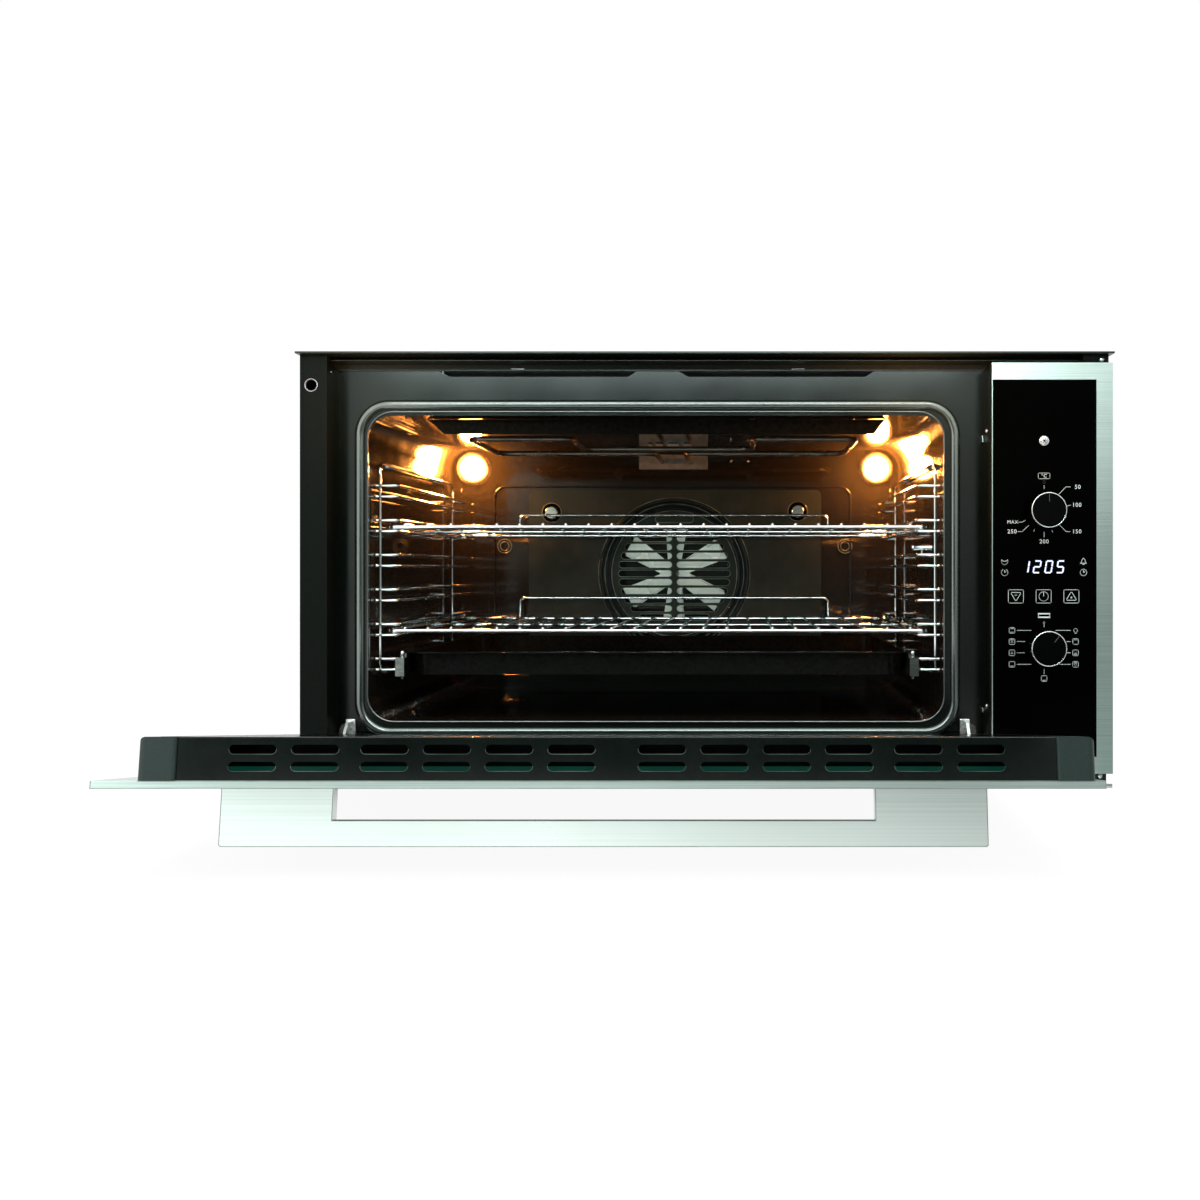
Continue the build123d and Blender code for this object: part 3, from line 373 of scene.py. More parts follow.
def moulding_mesh(name, x0, x1, z0, z1, radius, profile, steps=12):
    """Run a closed (outward offset, y) profile round a rounded rectangle."""
    bm = bmesh.new()
    loops = []
    for outward, y in profile:
        loop = rounded_loop(x0 - outward, x1 + outward, z0 - outward, z1 + outward, radius + outward, steps)
        loops.append([bm.verts.new((x, y, z)) for x, z in loop])
    count = len(loops[0])
    for k, loop in enumerate(loops):
        after = loops[(k + 1) % len(loops)]
        for i in range(count):
            j = (i + 1) % count
            bm.faces.new((loop[i], loop[j], after[j], after[i]))
    return mesh_from(name, bm)


def lettering_mesh(words, size, x, y, z):
    """Plain lettering, centred on a front-facing surface."""
    curve = bpy.data.curves.new("lettering", "FONT")
    curve.body = words
    curve.size = size
    curve.align_x = "CENTER"
    curve.align_y = "CENTER"
    curve.extrude = 0.00003
    curve.offset = 0.001 * size
    curve.space_character = 1.12
    curve.resolution_u = 3
    carrier = bpy.data.objects.new("lettering", curve)
    bpy.context.scene.collection.objects.link(carrier)
    depsgraph = bpy.context.evaluated_depsgraph_get()
    mesh = bpy.data.meshes.new_from_object(carrier.evaluated_get(depsgraph))
    bpy.data.objects.remove(carrier)
    mesh.transform(Matrix.Translation((x, y, z)) @ Matrix.Rotation(math.radians(90), 4, "X"))
    return mesh


def joined(name, meshes):
    """Several meshes as one."""
    bm = bmesh.new()
    for mesh in meshes:
        bm.from_mesh(mesh)
        bpy.data.meshes.remove(mesh)
    mesh = bpy.data.meshes.new(name)
    bm.to_mesh(mesh)
    bm.free()
    return mesh


def joined_piece(name, meshes, finish_name, body):
    """Several smooth meshes as one piece."""
    add_piece(name, joined(name, meshes), finish_name, body, smooth=True)


# ---------------------------------------------------------------- control panel printing
glass_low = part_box("control_glass")[0]
print_y = glass_low.y - 0.00002
PRINT = 0.00004


def knob_axis(node):
    """(x, z) of a knob's axis."""
    low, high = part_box(node)
    return (low.x + high.x) / 2, (low.z + high.z) / 2


thermostat_at = thermostat_x, thermostat_z = knob_axis("thermostat_knob_cap")
selector_at = selector_x, selector_z = knob_axis("selector_knob_cap")


def shifted(points, x, z):
    """Points given in millimetres about a centre, as places in metres."""
    return [(x + px * MM, z + pz * MM) for px, pz in points]


def circle_points(radius, start=0, end=360, steps=20):
    """Points round a circle or part of one, in the circle's own units."""
    angles = [math.radians(start + (end - start) * i / steps) for i in range(steps + 1)]
    return [(radius * math.cos(a), radius * math.sin(a)) for a in angles]


def square_points(half, radius=0.8):
    """A rounded square about the origin."""
    return rounded_loop(-half, half, -half, half, radius, 3)


def printed(bm, path, centre, width, closed=False):
    """A printed line through (x, z) points in millimetres about a place on the glass."""
    add_stroke(bm, shifted(path, *centre), width * MM, print_y, PRINT, closed)


def print_thermostat_scale():
    """Leader lines, ticks and numbers round the thermostat knob."""
    bm = bmesh.new()
    leaders = (((16.4, 18.5), (24.1, 26.4), (29, 26.4)), ((24.6, 5.2), (29.2, 6.4)),
               ((17.4, -15.9), (24.2, -22.8), (28.6, -22.8)), ((0, -23.3), (0, -28.8)),
               ((-16.8, -15.9), (-24.2, -22.8), (-28.8, -22.8)), ((-20.6, -10.4), (-24.2, -12.4), (-28, -12.4)),
               ((0, 24.6), (0, 28.0)))
    for line in leaders:
        printed(bm, line, thermostat_at, 0.45)
    for angle in (28, -15, -68, -117):
        across = (math.cos(math.radians(angle)), math.sin(math.radians(angle)))
        tick = [(across[0] * r, across[1] * r) for r in (23.2, 25.2)]
        printed(bm, tick, thermostat_at, 0.45)
    badge = [(x, 38.5 + z) for x, z in rounded_loop(-6.4, 6.4, -3.1, 3.1, 1.2, 3)]
    printed(bm, badge, thermostat_at, 0.4, closed=True)
    dot = [(x, 31.6 + z) for x, z in circle_points(0.7, steps=12)]
    printed(bm, dot, thermostat_at, 1.4)
    lines = mesh_from("thermostat_scale", bm)
    labels = (("50", 37, 26.2), ("100", 36, 6.5), ("150", 36, -22.8), ("200", 0, -33.8), ("250", -35.2, -22.8),
              ("MAX", -34.6, -12.4), ("°C", 0, 38.3))
    texts = [lettering_mesh(words, 6.4 * MM if words[0].isdigit() else 5.3 * MM, thermostat_x + x * MM, print_y,
                            thermostat_z + z * MM) for words, x, z in labels]
    add_piece("thermostat_scale_print", joined("thermostat_scale", [lines] + texts), "print_white", "chassis")


def print_selector_scale():
    """Leader lines and plain function pictures round the selector knob."""
    bm = bmesh.new()
    left_reach = (-14.2, -21.0, -21.3, -14.2)
    right_reach = (12.9, 25.0, 25.0, 17.4)
    rows = (18.9, 6.7, -5.7, -18.4)
    frames = []
    for row, left, right in zip(rows, left_reach, right_reach):
        printed(bm, [(-29.7, row), (left, row)], selector_at, 0.45)
        printed(bm, [(right, row), (29, row)], selector_at, 0.45)
        frames.append((-35.3, row))
        frames.append((34.6, row))
    frames.append((0, -34.0))
    marks = (("low", "high"), ("ring", "low"), ("high", "cross"), ("high",), ("cross",), ("cross", "low"),
             ("low",), ("ring", "high"), ("low",))
    shapes = {"low": [(-1.8, -1.9), (1.8, -1.9)], "high": [(-1.8, 1.9), (1.8, 1.9)],
              "cross": [(-1.1, -1.1), (1.1, 1.1), (0, 0), (-1.1, 1.1), (1.1, -1.1)],
              "ring": circle_points(1.2, steps=10)}
    for (x, z), drawn in zip(frames, marks):
        if (x, z) == frames[1]:
            bulb = [(x + px, z + pz) for px, pz in circle_points(2.1, -60, 240, 12)]
            printed(bm, bulb, selector_at, 0.4)
            foot = [(x - 1, z - 2.9), (x + 1, z - 2.9)]
            printed(bm, foot, selector_at, 0.5)
            continue
        outline = [(x + px, z + pz) for px, pz in square_points(3.1)]
        printed(bm, outline, selector_at, 0.45, closed=True)
        for mark in drawn:
            path = [(x + px, z + pz) for px, pz in shapes[mark]]
            printed(bm, path, selector_at, 0.45)
    for z in (33.4, 37.2):
        printed(bm, [(-6, z), (6, z)], selector_at, 1.5)
    for x in (-6.2, 6.2):
        printed(bm, [(x, 33.4), (x, 37.2)], selector_at, 0.5)
    ring = [(x, 27.6 + z) for x, z in circle_points(0.9, steps=10)]
    printed(bm, ring, selector_at, 0.45)
    for line in ([(0, 26.4), (0, 22.6)], [(0, -23.7), (0, -28.7)]):
        printed(bm, line, selector_at, 0.45)
    add_piece("selector_scale_print", mesh_from("selector_scale", bm), "print_white", "chassis")


key_z = selector_z + 56.3 * MM
key_xs = [selector_x + x * MM for x in (-31, -0.5, 30)]
display_z = selector_z + 88.8 * MM


def print_touch_keys():
    """Outlines of the three touch keys, with a down arrow, a clock and an up arrow."""
    bm = bmesh.new()
    triangle = [(-4.6, 4.3), (4.6, 4.3), (5.2, 3.2), (0.7, -4.4), (-0.7, -4.4), (-5.2, 3.2)]
    minus = [(-0.9, 1.3), (0.9, 1.3)]
    plus = [(0, 0.4), (0, 2.2)]
    for index, x in enumerate(key_xs):
        outline = rounded_loop(-8.3, 8.3, -7.3, 7.3, 1.2, 3)
        printed(bm, outline, (x, key_z), 0.45, closed=True)
        if index == 1:
            printed(bm, circle_points(5.1, steps=28), (x, key_z), 0.5)
            printed(bm, [(0, 0.4), (0, 5.0)], (x, key_z), 0.6)
            continue
        flip = 1 if index == 0 else -1
        turned = [(px, pz * flip) for px, pz in triangle]
        printed(bm, turned, (x, key_z), 0.5, closed=True)
        for path in (minus,) if index == 0 else (minus, plus):
            turned = [(px, pz * flip) for px, pz in path]
            printed(bm, turned, (x, key_z), 0.5)
    side_marks = ((-43.4, 6.1, "timer"), (-43.4, -6.2, "alarm"), (43.3, 6.1, "bell"), (43.3, -6.2, "clock"))
    for x, z, kind in side_marks:
        centre = (selector_x + x * MM, display_z + z * MM)
        if kind == "bell":
            path = [(-3.3, -2.2), (-2.0, -0.6), (-1.8, 1.6), (0, 3.4), (1.8, 1.6), (2.0, -0.6), (3.3, -2.2)]
            printed(bm, path, centre, 0.6, closed=True)
            printed(bm, [(-0.8, -3.4), (0.8, -3.4)], centre, 0.6)
            continue
        start, end = {"timer": (150, 390), "alarm": (120, 420), "clock": (0, 360)}[kind]
        printed(bm, circle_points(3.6, start, end), centre, 0.6)
        hand = [(-3.4, 0.9), (0, -0.2), (3.2, 0.9)] if kind == "timer" else [(0, 2.2), (0, 0), (1.4, 0.7)]
        printed(bm, hand, centre, 0.6)
    add_piece("touch_key_print", mesh_from("touch_keys", bm), "print_white", "chassis")


def clock_digits():
    """Lit seven-segment digits of the clock, leaning to the right."""
    half_width = 3.4
    half_height = 6.4
    pitch = 12.8
    last_x = 18.0
    lean = 0.16
    bars = {"a": ((-1, 1), (1, 1)), "b": ((1, 1), (1, 0)), "c": ((1, 0), (1, -1)), "d": ((-1, -1), (1, -1)),
            "e": ((-1, 0), (-1, -1)), "f": ((-1, 1), (-1, 0)), "g": ((-1, 0), (1, 0))}
    lit = {"1": "bc", "2": "abged", "0": "abcdef", "5": "afgcd"}
    bm = bmesh.new()
    for place, digit in enumerate("1205"):
        x_mid = (place - 3) * pitch + last_x
        for letter in lit[digit]:
            ends = []
            for sx, sz in bars[letter]:
                z = sz * half_height
                ends.append(Vector((x_mid + sx * half_width + z * lean, z)))
            shrink = (ends[1] - ends[0]).normalized() * 1.15
            path = [tuple(ends[0] + shrink), tuple(ends[1] - shrink)]
            printed(bm, path, (selector_x, display_z), 1.6)
    add_piece("clock_digits", mesh_from("clock_digits", bm), "display", "chassis")


print_thermostat_scale()
print_selector_scale()
print_touch_keys()
clock_digits()


# ---------------------------------------------------------------- knobs and stud
def knob_trim(node, body, pointer_angle):
    """Bright ring round a knob's face and the pointer line on it."""
    low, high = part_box(node)
    centre = Vector(((low.x + high.x) / 2, low.y, (low.z + high.z) / 2))
    radius = (high.x - low.x) / 2
    ring = [(radius, 1.4 * MM), (radius - 0.1 * MM, 0.5 * MM), (radius - 0.5 * MM, 0.08 * MM),
            (radius - 1.0 * MM, 0.1 * MM), (radius - 1.35 * MM, 0.5 * MM), (radius - 1.35 * MM, 1.4 * MM)]
    add_piece(f"{body}_ring", lathe_mesh("knob_ring", ring, centre, 72), "ring_chrome", body, smooth=True)
    bm = bmesh.new()
    across = Vector((math.sin(pointer_angle), math.cos(pointer_angle)))
    middle = Vector((centre.x, centre.z))
    ends = [tuple(middle + across * r * MM) for r in (9.5, 16.6)]
    add_bar(bm, ends[0], ends[1], 0.7 * MM, low.y - 0.00001, PRINT)
    add_piece(f"{body}_pointer", mesh_from("knob_pointer", bm), "pointer_grey", body)


knob_trim("thermostat_knob_cap", "thermostat_knob", 0.0)
knob_trim("selector_knob_cap", "selector_knob", math.radians(38))

stud_centre = Vector((thermostat_x, glass_low.y, thermostat_z + 77 * MM))
stud_profile = [(0.0, -1.3 * MM), (4.2 * MM, -1.25 * MM), (5.1 * MM, -0.9 * MM), (5.5 * MM, -0.3 * MM),
                (5.5 * MM, 0.0), (0.0, 0.0)]
add_piece("panel_stud", lathe_mesh("panel_stud", stud_profile, stud_centre), "ring_chrome", "chassis",
          smooth=True)
star = bmesh.new()
for angle in (0, 60, 120):
    reach_x = 2.2 * MM * math.cos(math.radians(angle))
    reach_z = 2.2 * MM * math.sin(math.radians(angle))
    ends = [(stud_centre.x + side * reach_x, stud_centre.z + side * reach_z) for side in (-1, 1)]
    add_bar(star, *ends, 0.8 * MM, stud_centre.y - 1.29 * MM, PRINT)
add_piece("panel_stud_star", mesh_from("panel_stud_star", star), "knob_black", "chassis")


# ---------------------------------------------------------------- screws
def screw_heads(name, places, radius, height, facing, finish_name, body):
    """Domed cross-head screws at chosen places, made by one node tree and set out as plain mesh."""
    tree = bpy.data.node_groups.new("screw_heads", "GeometryNodeTree")
    tree.interface.new_socket("Geometry", in_out="INPUT", socket_type="NodeSocketGeometry")
    radius_socket = tree.interface.new_socket("Head radius", in_out="INPUT", socket_type="NodeSocketFloat")
    height_socket = tree.interface.new_socket("Head height", in_out="INPUT", socket_type="NodeSocketFloat")
    tree.interface.new_socket("Geometry", in_out="OUTPUT", socket_type="NodeSocketGeometry")
    entry = tree.nodes.new("NodeGroupInput")
    leave = tree.nodes.new("NodeGroupOutput")

    def node(kind, **links):
        made = tree.nodes.new(kind)
        for socket_name, source in links.items():
            tree.links.new(source, made.inputs[socket_name.replace("_", " ")])
        return made

    head = node("GeometryNodeMeshUVSphere")
    head.inputs["Segments"].default_value = 20
    head.inputs["Rings"].default_value = 10
    scale = node("ShaderNodeCombineXYZ", X=entry.outputs["Head radius"], Y=entry.outputs["Head radius"],
                 Z=entry.outputs["Head height"])
    dome = node("GeometryNodeTransform", Geometry=head.outputs["Mesh"], Scale=scale.outputs["Vector"])
    slot_long = node("GeometryNodeMeshCube")
    slot_long.inputs["Size"].default_value = (radius * 1.15, radius * 0.22, height)
    slot_cross = node("GeometryNodeMeshCube")
    slot_cross.inputs["Size"].default_value = (radius * 0.22, radius * 1.15, height)
    both = node("GeometryNodeJoinGeometry")
    tree.links.new(slot_long.outputs["Mesh"], both.inputs["Geometry"])
    tree.links.new(slot_cross.outputs["Mesh"], both.inputs["Geometry"])
    lift = node("GeometryNodeTransform", Geometry=both.outputs["Geometry"])
    lift.inputs["Translation"].default_value = (0, 0, height)
    cut = node("GeometryNodeMeshBoolean")
    cut.operation = "DIFFERENCE"
    tree.links.new(dome.outputs["Geometry"], cut.inputs["Mesh 1"])
    tree.links.new(lift.outputs["Geometry"], cut.inputs["Mesh 2"])
    align = node("FunctionNodeAlignEulerToVector")
    align.inputs["Vector"].default_value = facing
    align.axis = "Z"
    copies = node("GeometryNodeInstanceOnPoints", Points=entry.outputs["Geometry"],
                  Instance=cut.outputs["Mesh"], Rotation=align.outputs["Rotation"])
    real = node("GeometryNodeRealizeInstances", Geometry=copies.outputs["Instances"])
    painted = node("GeometryNodeSetMaterial", Geometry=real.outputs["Geometry"])
    painted.inputs["Material"].default_value = finish[finish_name]
    tree.links.new(painted.outputs["Geometry"], leave.inputs["Geometry"])

    points = bpy.data.meshes.new(name)
    points.from_pydata([tuple(p) for p in places], [], [])
    carrier = bpy.data.objects.new(name, points)
    bpy.context.scene.collection.objects.link(carrier)
    modifier = carrier.modifiers.new("heads", "NODES")
    modifier.node_group = tree
    modifier[radius_socket.identifier] = radius
    modifier[height_socket.identifier] = height
    mesh = bpy.data.meshes.new_from_object(carrier.evaluated_get(bpy.context.evaluated_depsgraph_get()))
    bpy.data.objects.remove(carrier)
    return add_piece(name, mesh, finish_name, body, smooth=False)


# ---------------------------------------------------------------- small parts of the chassis
def add_block(bm, x0, x1, y0, y1, z0, z1):
    """A box between corners given in millimetres."""
    corners = [(x, y, z) for x in (x0, x1) for y in (y0, y1) for z in (z0, z1)]
    verts = [bm.verts.new(Vector(corner) * MM) for corner in corners]
    for face in ((0, 1, 3, 2), (4, 6, 7, 5), (0, 4, 5, 1), (2, 3, 7, 6), (0, 2, 6, 4), (1, 5, 7, 3)):
        bm.faces.new([verts[i] for i in face])


def softened(bm, reach):
    """Round every edge a little."""
    bmesh.ops.recalc_face_normals(bm, faces=bm.faces)
    bmesh.ops.bevel(bm, geom=bm.edges[:], offset=reach * MM, segments=2, profile=0.5, affect="EDGES")
    return bm


def block_piece(name, blocks, finish_name, body, soft=0.3, turn=None):
    """Several small boxes as one piece."""
    bm = bmesh.new()
    for corners in blocks:
        add_block(bm, *corners)
    mesh = mesh_from(name, softened(bm, soft))
    if turn:
        mesh.transform(turn)
    add_piece(name, mesh, finish_name, body)


def torus_mesh(name, centre, radius, tube, steps=64):
    """A bead that runs round an axis along Y."""
    profile = []
    for step in range(12):
        angle = 2 * math.pi * step / 12
        profile.append(((radius + tube * math.cos(angle)) * MM, tube * math.sin(angle) * MM))
    return lathe_mesh(name, profile, Vector(centre) * MM, steps)


def places(*points):
    """Places in metres from millimetres."""
    return [Vector(point) * MM for point in points]


frame_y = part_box("cavity_front_frame")[0].y / MM
wall_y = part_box("cavity_rear_wall")[0].y / MM
RING_RISE = 1.8
guard_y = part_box("fan_guard_panel")[0].y / MM + RING_RISE

lip_profile = [(u * MM, (frame_y - 0.4) * MM + v * MM) for u, v in
               ((-1.3, 0.6), (-1.2, -0.5), (-0.6, -1.1), (0.2, -1.1), (0.8, -0.5), (1.0, 0.6))]
add_piece("opening_lip", moulding_mesh("opening_lip", -0.3845, 0.2710, 0.0675, 0.4200, 0.030, lip_profile),
          "seal", "chassis", smooth=True)
block_piece("outlet_tabs", [(-221, -206, frame_y - 1, frame_y, 467.6, 469.2),
                            (97.5, 112, frame_y - 1, frame_y, 467.6, 469.2)], "zinc_sheet", "chassis")
screw_heads("flange_side_screw", places((-418, -8, 461)), 2.0 * MM, 1.2 * MM, (1, 0, 0), "zinc_bright",
            "chassis")
screw_heads("recess_clip_screws", places((314.5, -8, 395), (314.5, -8, 88)), 2.2 * MM, 1.6 * MM, (-1, 0, 0),
            "ring_chrome", "chassis")
block_piece("recess_clips", [(312.2, 314.5, 6, 13, 384, 392), (312.2, 314.5, 6, 13, 79, 84)], "zinc_bright",
            "chassis", 0.6)
block_piece("foot_bracket", [(430.5, 443.5, -22.6, -10, 5, 15.6)], "trim_paint", "chassis")
screw_heads("panel_screws", places((436.8, -22.6, 12), (438.5, -22.8, 472.6)), 2.5 * MM, 1.2 * MM, (0, -1, 0),
            "zinc_bright", "chassis")
rim_profile = [(5.7 * MM, 1.2 * MM), (6.6 * MM, -0.15 * MM), (7.3 * MM, -0.15 * MM), (7.3 * MM, 0.0),
               (6.6 * MM, 1.2 * MM)]
rim_places = places((-435.6, -22, 444.5), (-435.6, -22, 42))
hole_rims = [lathe_mesh("fixing_hole_rims", rim_profile, place) for place in rim_places]
joined_piece("fixing_hole_rims", hole_rims, "motor_steel", "chassis")


def hinge_cover(side):
    """Chrome plate, rounded cheek and nut round a hinge arm, on the front frame."""
    arm_low, arm_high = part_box("hinge_arms")
    middle = (arm_low.x + 1.5 * MM if side < 0 else arm_high.x - 1.5 * MM) / MM
    bm = bmesh.new()
    inner = middle - side * 6.5
    outer = middle + side * 4.5
    add_block(bm, min(inner, outer), max(inner, outer), frame_y - 3.2, frame_y, 52, 71)
    softened(bm, 0.5)
    cheek = [(outer, 51), (outer, 66.5)]
    for step in range(7):
        angle = math.radians(90 * step / 6)
        cheek.append((outer + side * 7.6 * math.sin(angle), 56.5 + 9.5 * math.cos(angle)))
    cheek.append((outer + side * 7.6, 51))
    front = [bm.verts.new(Vector((x, frame_y - 4.6 + 0.35 * abs(x - outer), z)) * MM) for x, z in cheek]
    back = [bm.verts.new(Vector((x, frame_y - 0.5, z)) * MM) for x, z in cheek]
    bm.faces.new(front)
    bm.faces.new(back[::-1])
    for i in range(len(cheek)):
        j = (i + 1) % len(cheek)
        bm.faces.new((front[i], front[j], back[j], back[i]))
    word = "left" if side < 0 else "right"
    add_piece(f"hinge_cover_{word}", mesh_from("hinge_cover", bm), "ring_chrome", "chassis")
    nut_profile = [(0.0, -1.5 * MM), (3.2 * MM, -1.5 * MM), (3.6 * MM, -1.0 * MM), (3.6 * MM, 0.0), (0.0, 0.0)]
    nut_place = Vector((middle + side * 0.6, frame_y - 3.2, 61)) * MM
    add_piece(f"hinge_nut_{word}", lathe_mesh("hinge_nut", nut_profile, nut_place, 6), "motor_steel", "chassis")


hinge_cover(-1)
hinge_cover(1)


# ---------------------------------------------------------------- small parts of the door
HINGE = Vector((0, -14, 35)) * MM
OPENED = Matrix.Translation(HINGE) @ Matrix.Rotation(math.radians(82.4), 4, "X") @ Matrix.Translation(-HINGE)
DOOR_CENTRE = -54.5
DOOR_HALF = 359.0
DOOR_TOP = 468.0
VENT_ROWS = (-13.5, -0.8)
VENT_OFFSETS = (34.0, 80.8, 127.6, 174.4, 226.4, 273.4)


def lay_on_top(bm, name, z):
    """Turn lines drawn on a front-facing surface onto the door's top face at height z, with the door open."""
    mesh = mesh_from(name, bm)
    lay_back = Matrix.Translation((0, 0, z * MM)) @ Matrix.Rotation(math.radians(-90), 4, "X")
    mesh.transform(OPENED @ lay_back)
    return mesh


def slot_rim_highlights():
    """Thin lighter line along the lower half of every slot of the door's vent cover: a painted highlight of each
    slot's lit lower wall.
    """
    half = [(-14.3 + 3.6 * math.cos(a), 3.6 * math.sin(a)) for a in (math.pi * k / 12 for k in range(12, 19))]
    half += [(14.3 + 3.6 * math.cos(a), 3.6 * math.sin(a)) for a in (math.pi * k / 12 for k in range(18, 25))]
    bm = bmesh.new()
    for row in VENT_ROWS:
        for offset in VENT_OFFSETS:
            for side in (-1, 1):
                rim = shifted(half, (DOOR_CENTRE + side * offset) * MM, row * MM)
                add_stroke(bm, rim, 0.5 * MM, 0.0, 0.05 * MM)
    return lay_on_top(bm, "slot_rim_highlights", DOOR_TOP)


def edge_lines(name, paths, z):
    """Fine dark lines where the door's steel edges are broken: a painted dark reflection of the rounded edges.
    """
    bm = bmesh.new()
    for path in paths:
        add_stroke(bm, shifted(path, 0, 0), 0.6 * MM, 0.0, 0.04 * MM)
    add_piece(name, lay_on_top(bm, name, z), "edge_painted_reflection", "door")


# Painted highlights under the door's vent slots.
add_piece("slot_rim_highlights", slot_rim_highlights(), "rim_highlight", "door")
door_half = DOOR_HALF - 30
# Thin glowing sheet behind the vent slots: a painted glow standing in for the lit green glass.
block_piece("slot_glow_sheet", [(DOOR_CENTRE - door_half, DOOR_CENTRE + door_half, -17.6, -14.4, 437.2, 437.6)],
            "glass_painted_glow", "door", 0.05, OPENED)
# Black sheet inside the door below the slots, put there only to keep the view through the slots in shade.
block_piece("slot_shade_sheet", [(DOOR_CENTRE - door_half, DOOR_CENTRE + door_half, -22.6, 3.6, 436, 437)],
            "black_paint", "door", 0.1, OPENED)
# Painted dark reflection along the handle's and the top band's edges.
edge_lines("handle_edge_lines", [
    [(-367.9, -30.2), (-367.9, -75.2), (-366.6, -76.4), (230.1, -76.4), (231.4, -75.2), (231.4, -30.2)],
    [(-280.7, -30.2), (-280.7, -56.8), (144.2, -56.8), (144.2, -30.2)]], 425)
edge_lines("band_edge_lines", [[(-448.1, -24.4), (-448.1, -29.7), (311.6, -29.7), (311.6, -24.4)],
                               [(-413, -24.4), (304, -24.4)]], DOOR_TOP)


# ---------------------------------------------------------------- small parts of the cavity
# Round each guard screw: a black ring painting the shade in the recessed dish, and a lighter bead painting its
# rim highlight.
screw_places = ((-235.7, 323.7), (123.6, 325.7))
dish_profile = [(9.2 * MM, -0.3 * MM), (13.6 * MM, -0.3 * MM), (13.6 * MM, 0.3 * MM), (9.2 * MM, 0.3 * MM)]
dishes = [lathe_mesh("guard_dish_shade", dish_profile, Vector((x, guard_y, z)) * MM, 40) for x, z in screw_places]
add_piece("guard_dish_shade", joined("guard_dish_shade", dishes), "knob_black", "chassis", smooth=False)
dish_rims = [torus_mesh("guard_dish_rim_highlights", (x, guard_y, z), 14.2, 0.6, 40) for x, z in screw_places]
joined_piece("guard_dish_rim_highlights", dish_rims, "rim_highlight", "chassis")


def slot_loop(half_length, half_height):
    """Outline of a round-ended slot about its own middle, in millimetres."""
    loop = []
    for side, turn in ((1, -90), (-1, 90)):
        for step in range(7):
            angle = math.radians(turn + 30 * step)
            loop.append((side * (half_length - half_height) + half_height * math.cos(angle),
                         half_height * math.sin(angle)))
    return loop


def guard_slot_highlights():
    """Lighter line round every air slot of the fan guard: a painted highlight on the rolled edges."""
    bm = bmesh.new()
    half_height = 4.9
    half_rib = 3.25
    lone_half_length = 27.9
    lone_rise = 79
    slots = [(0, lone_rise, lone_half_length)]
    for row in range(-5, 6):
        rise = 12.8 * row
        length = math.sqrt(82 ** 2 - rise ** 2) - half_rib
        slots += [(side * (half_rib + length / 2), rise, length / 2) for side in (-1, 1)]
    for offset, rise, half_length in slots:
        loop = shifted(slot_loop(half_length, half_height), (FAN_X + offset) * MM, (FAN_Z + rise) * MM)
        add_stroke(bm, loop, 0.8 * MM, (guard_y - 0.2) * MM, 0.2 * MM, True)
    return mesh_from("guard_slot_highlights", bm)


# Painted highlights round the guard's slots.
add_piece("guard_slot_highlights", guard_slot_highlights(), "rim_highlight", "chassis")
# Raised ring beads on the guard: real relief, in the lighter finish that paints their highlight.
ring_centre = (FAN_X, guard_y - 0.4, FAN_Z)
rings = [torus_mesh("guard_ring_edges", ring_centre, radius, 0.7, 96) for radius in (91.5, 101.5, 110.5)]
joined_piece("guard_ring_edges", rings, "rim_highlight", "chassis")
# Embossed rings on the rear wall: real relief, in the lighter finish that paints their highlight.
bosses = [torus_mesh("wall_bosses", (x, wall_y, 275), radius, 0.8, 40)
          for x in (-307, 194) for radius in (6.5, 10.2)]
joined_piece("wall_bosses", bosses, "rim_highlight", "chassis")
ridge_profile = [(u * MM, (wall_y + v) * MM) for u, v in
                 ((-1.6, 0.3), (-1.4, -0.6), (-0.5, -1.4), (0.5, -1.4), (1.4, -0.6), (1.6, 0.3))]
add_piece("wall_ridge", moulding_mesh("wall_ridge", -0.322, 0.202, 0.085, 0.3625, 0.016, ridge_profile),
          "cavity_enamel", "chassis", smooth=True)
screw_heads("wall_rivets", places((26.2, wall_y, 400.3), (51.2, wall_y, 400.3)), 1.7 * MM, 0.9 * MM, (0, -1, 0),
            "zinc_bright", "chassis")
tab_spans = ((-88.5, -83), (-77.4, -67.7), (-62.1, -45.4), (-39.9, -28.8))
block_piece("roof_tabs", [(*span, 305, 358, 413.6, 414.6) for span in tab_spans], "ring_chrome", "chassis")
fan_low, fan_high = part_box("fan_impeller")
fan_axis = (fan_low + fan_high) / 2
nut_profile = [(0.0, -4 * MM), (6 * MM, -4 * MM), (7 * MM, -3 * MM), (7 * MM, 0.0), (0.0, 0.0)]
add_piece("fan_nut", lathe_mesh("fan_nut", nut_profile, (fan_axis.x, fan_low.y + 1 * MM, fan_axis.z), 6),
          "zinc_bright", "convection_fan")


# ---------------------------------------------------------------- small parts of the racks
CAVITY_CENTRE = -56.5
RUNG_HEIGHTS = [337.6 - 40.1 * level - gap for level in range(6) for gap in (0, 12.6)]


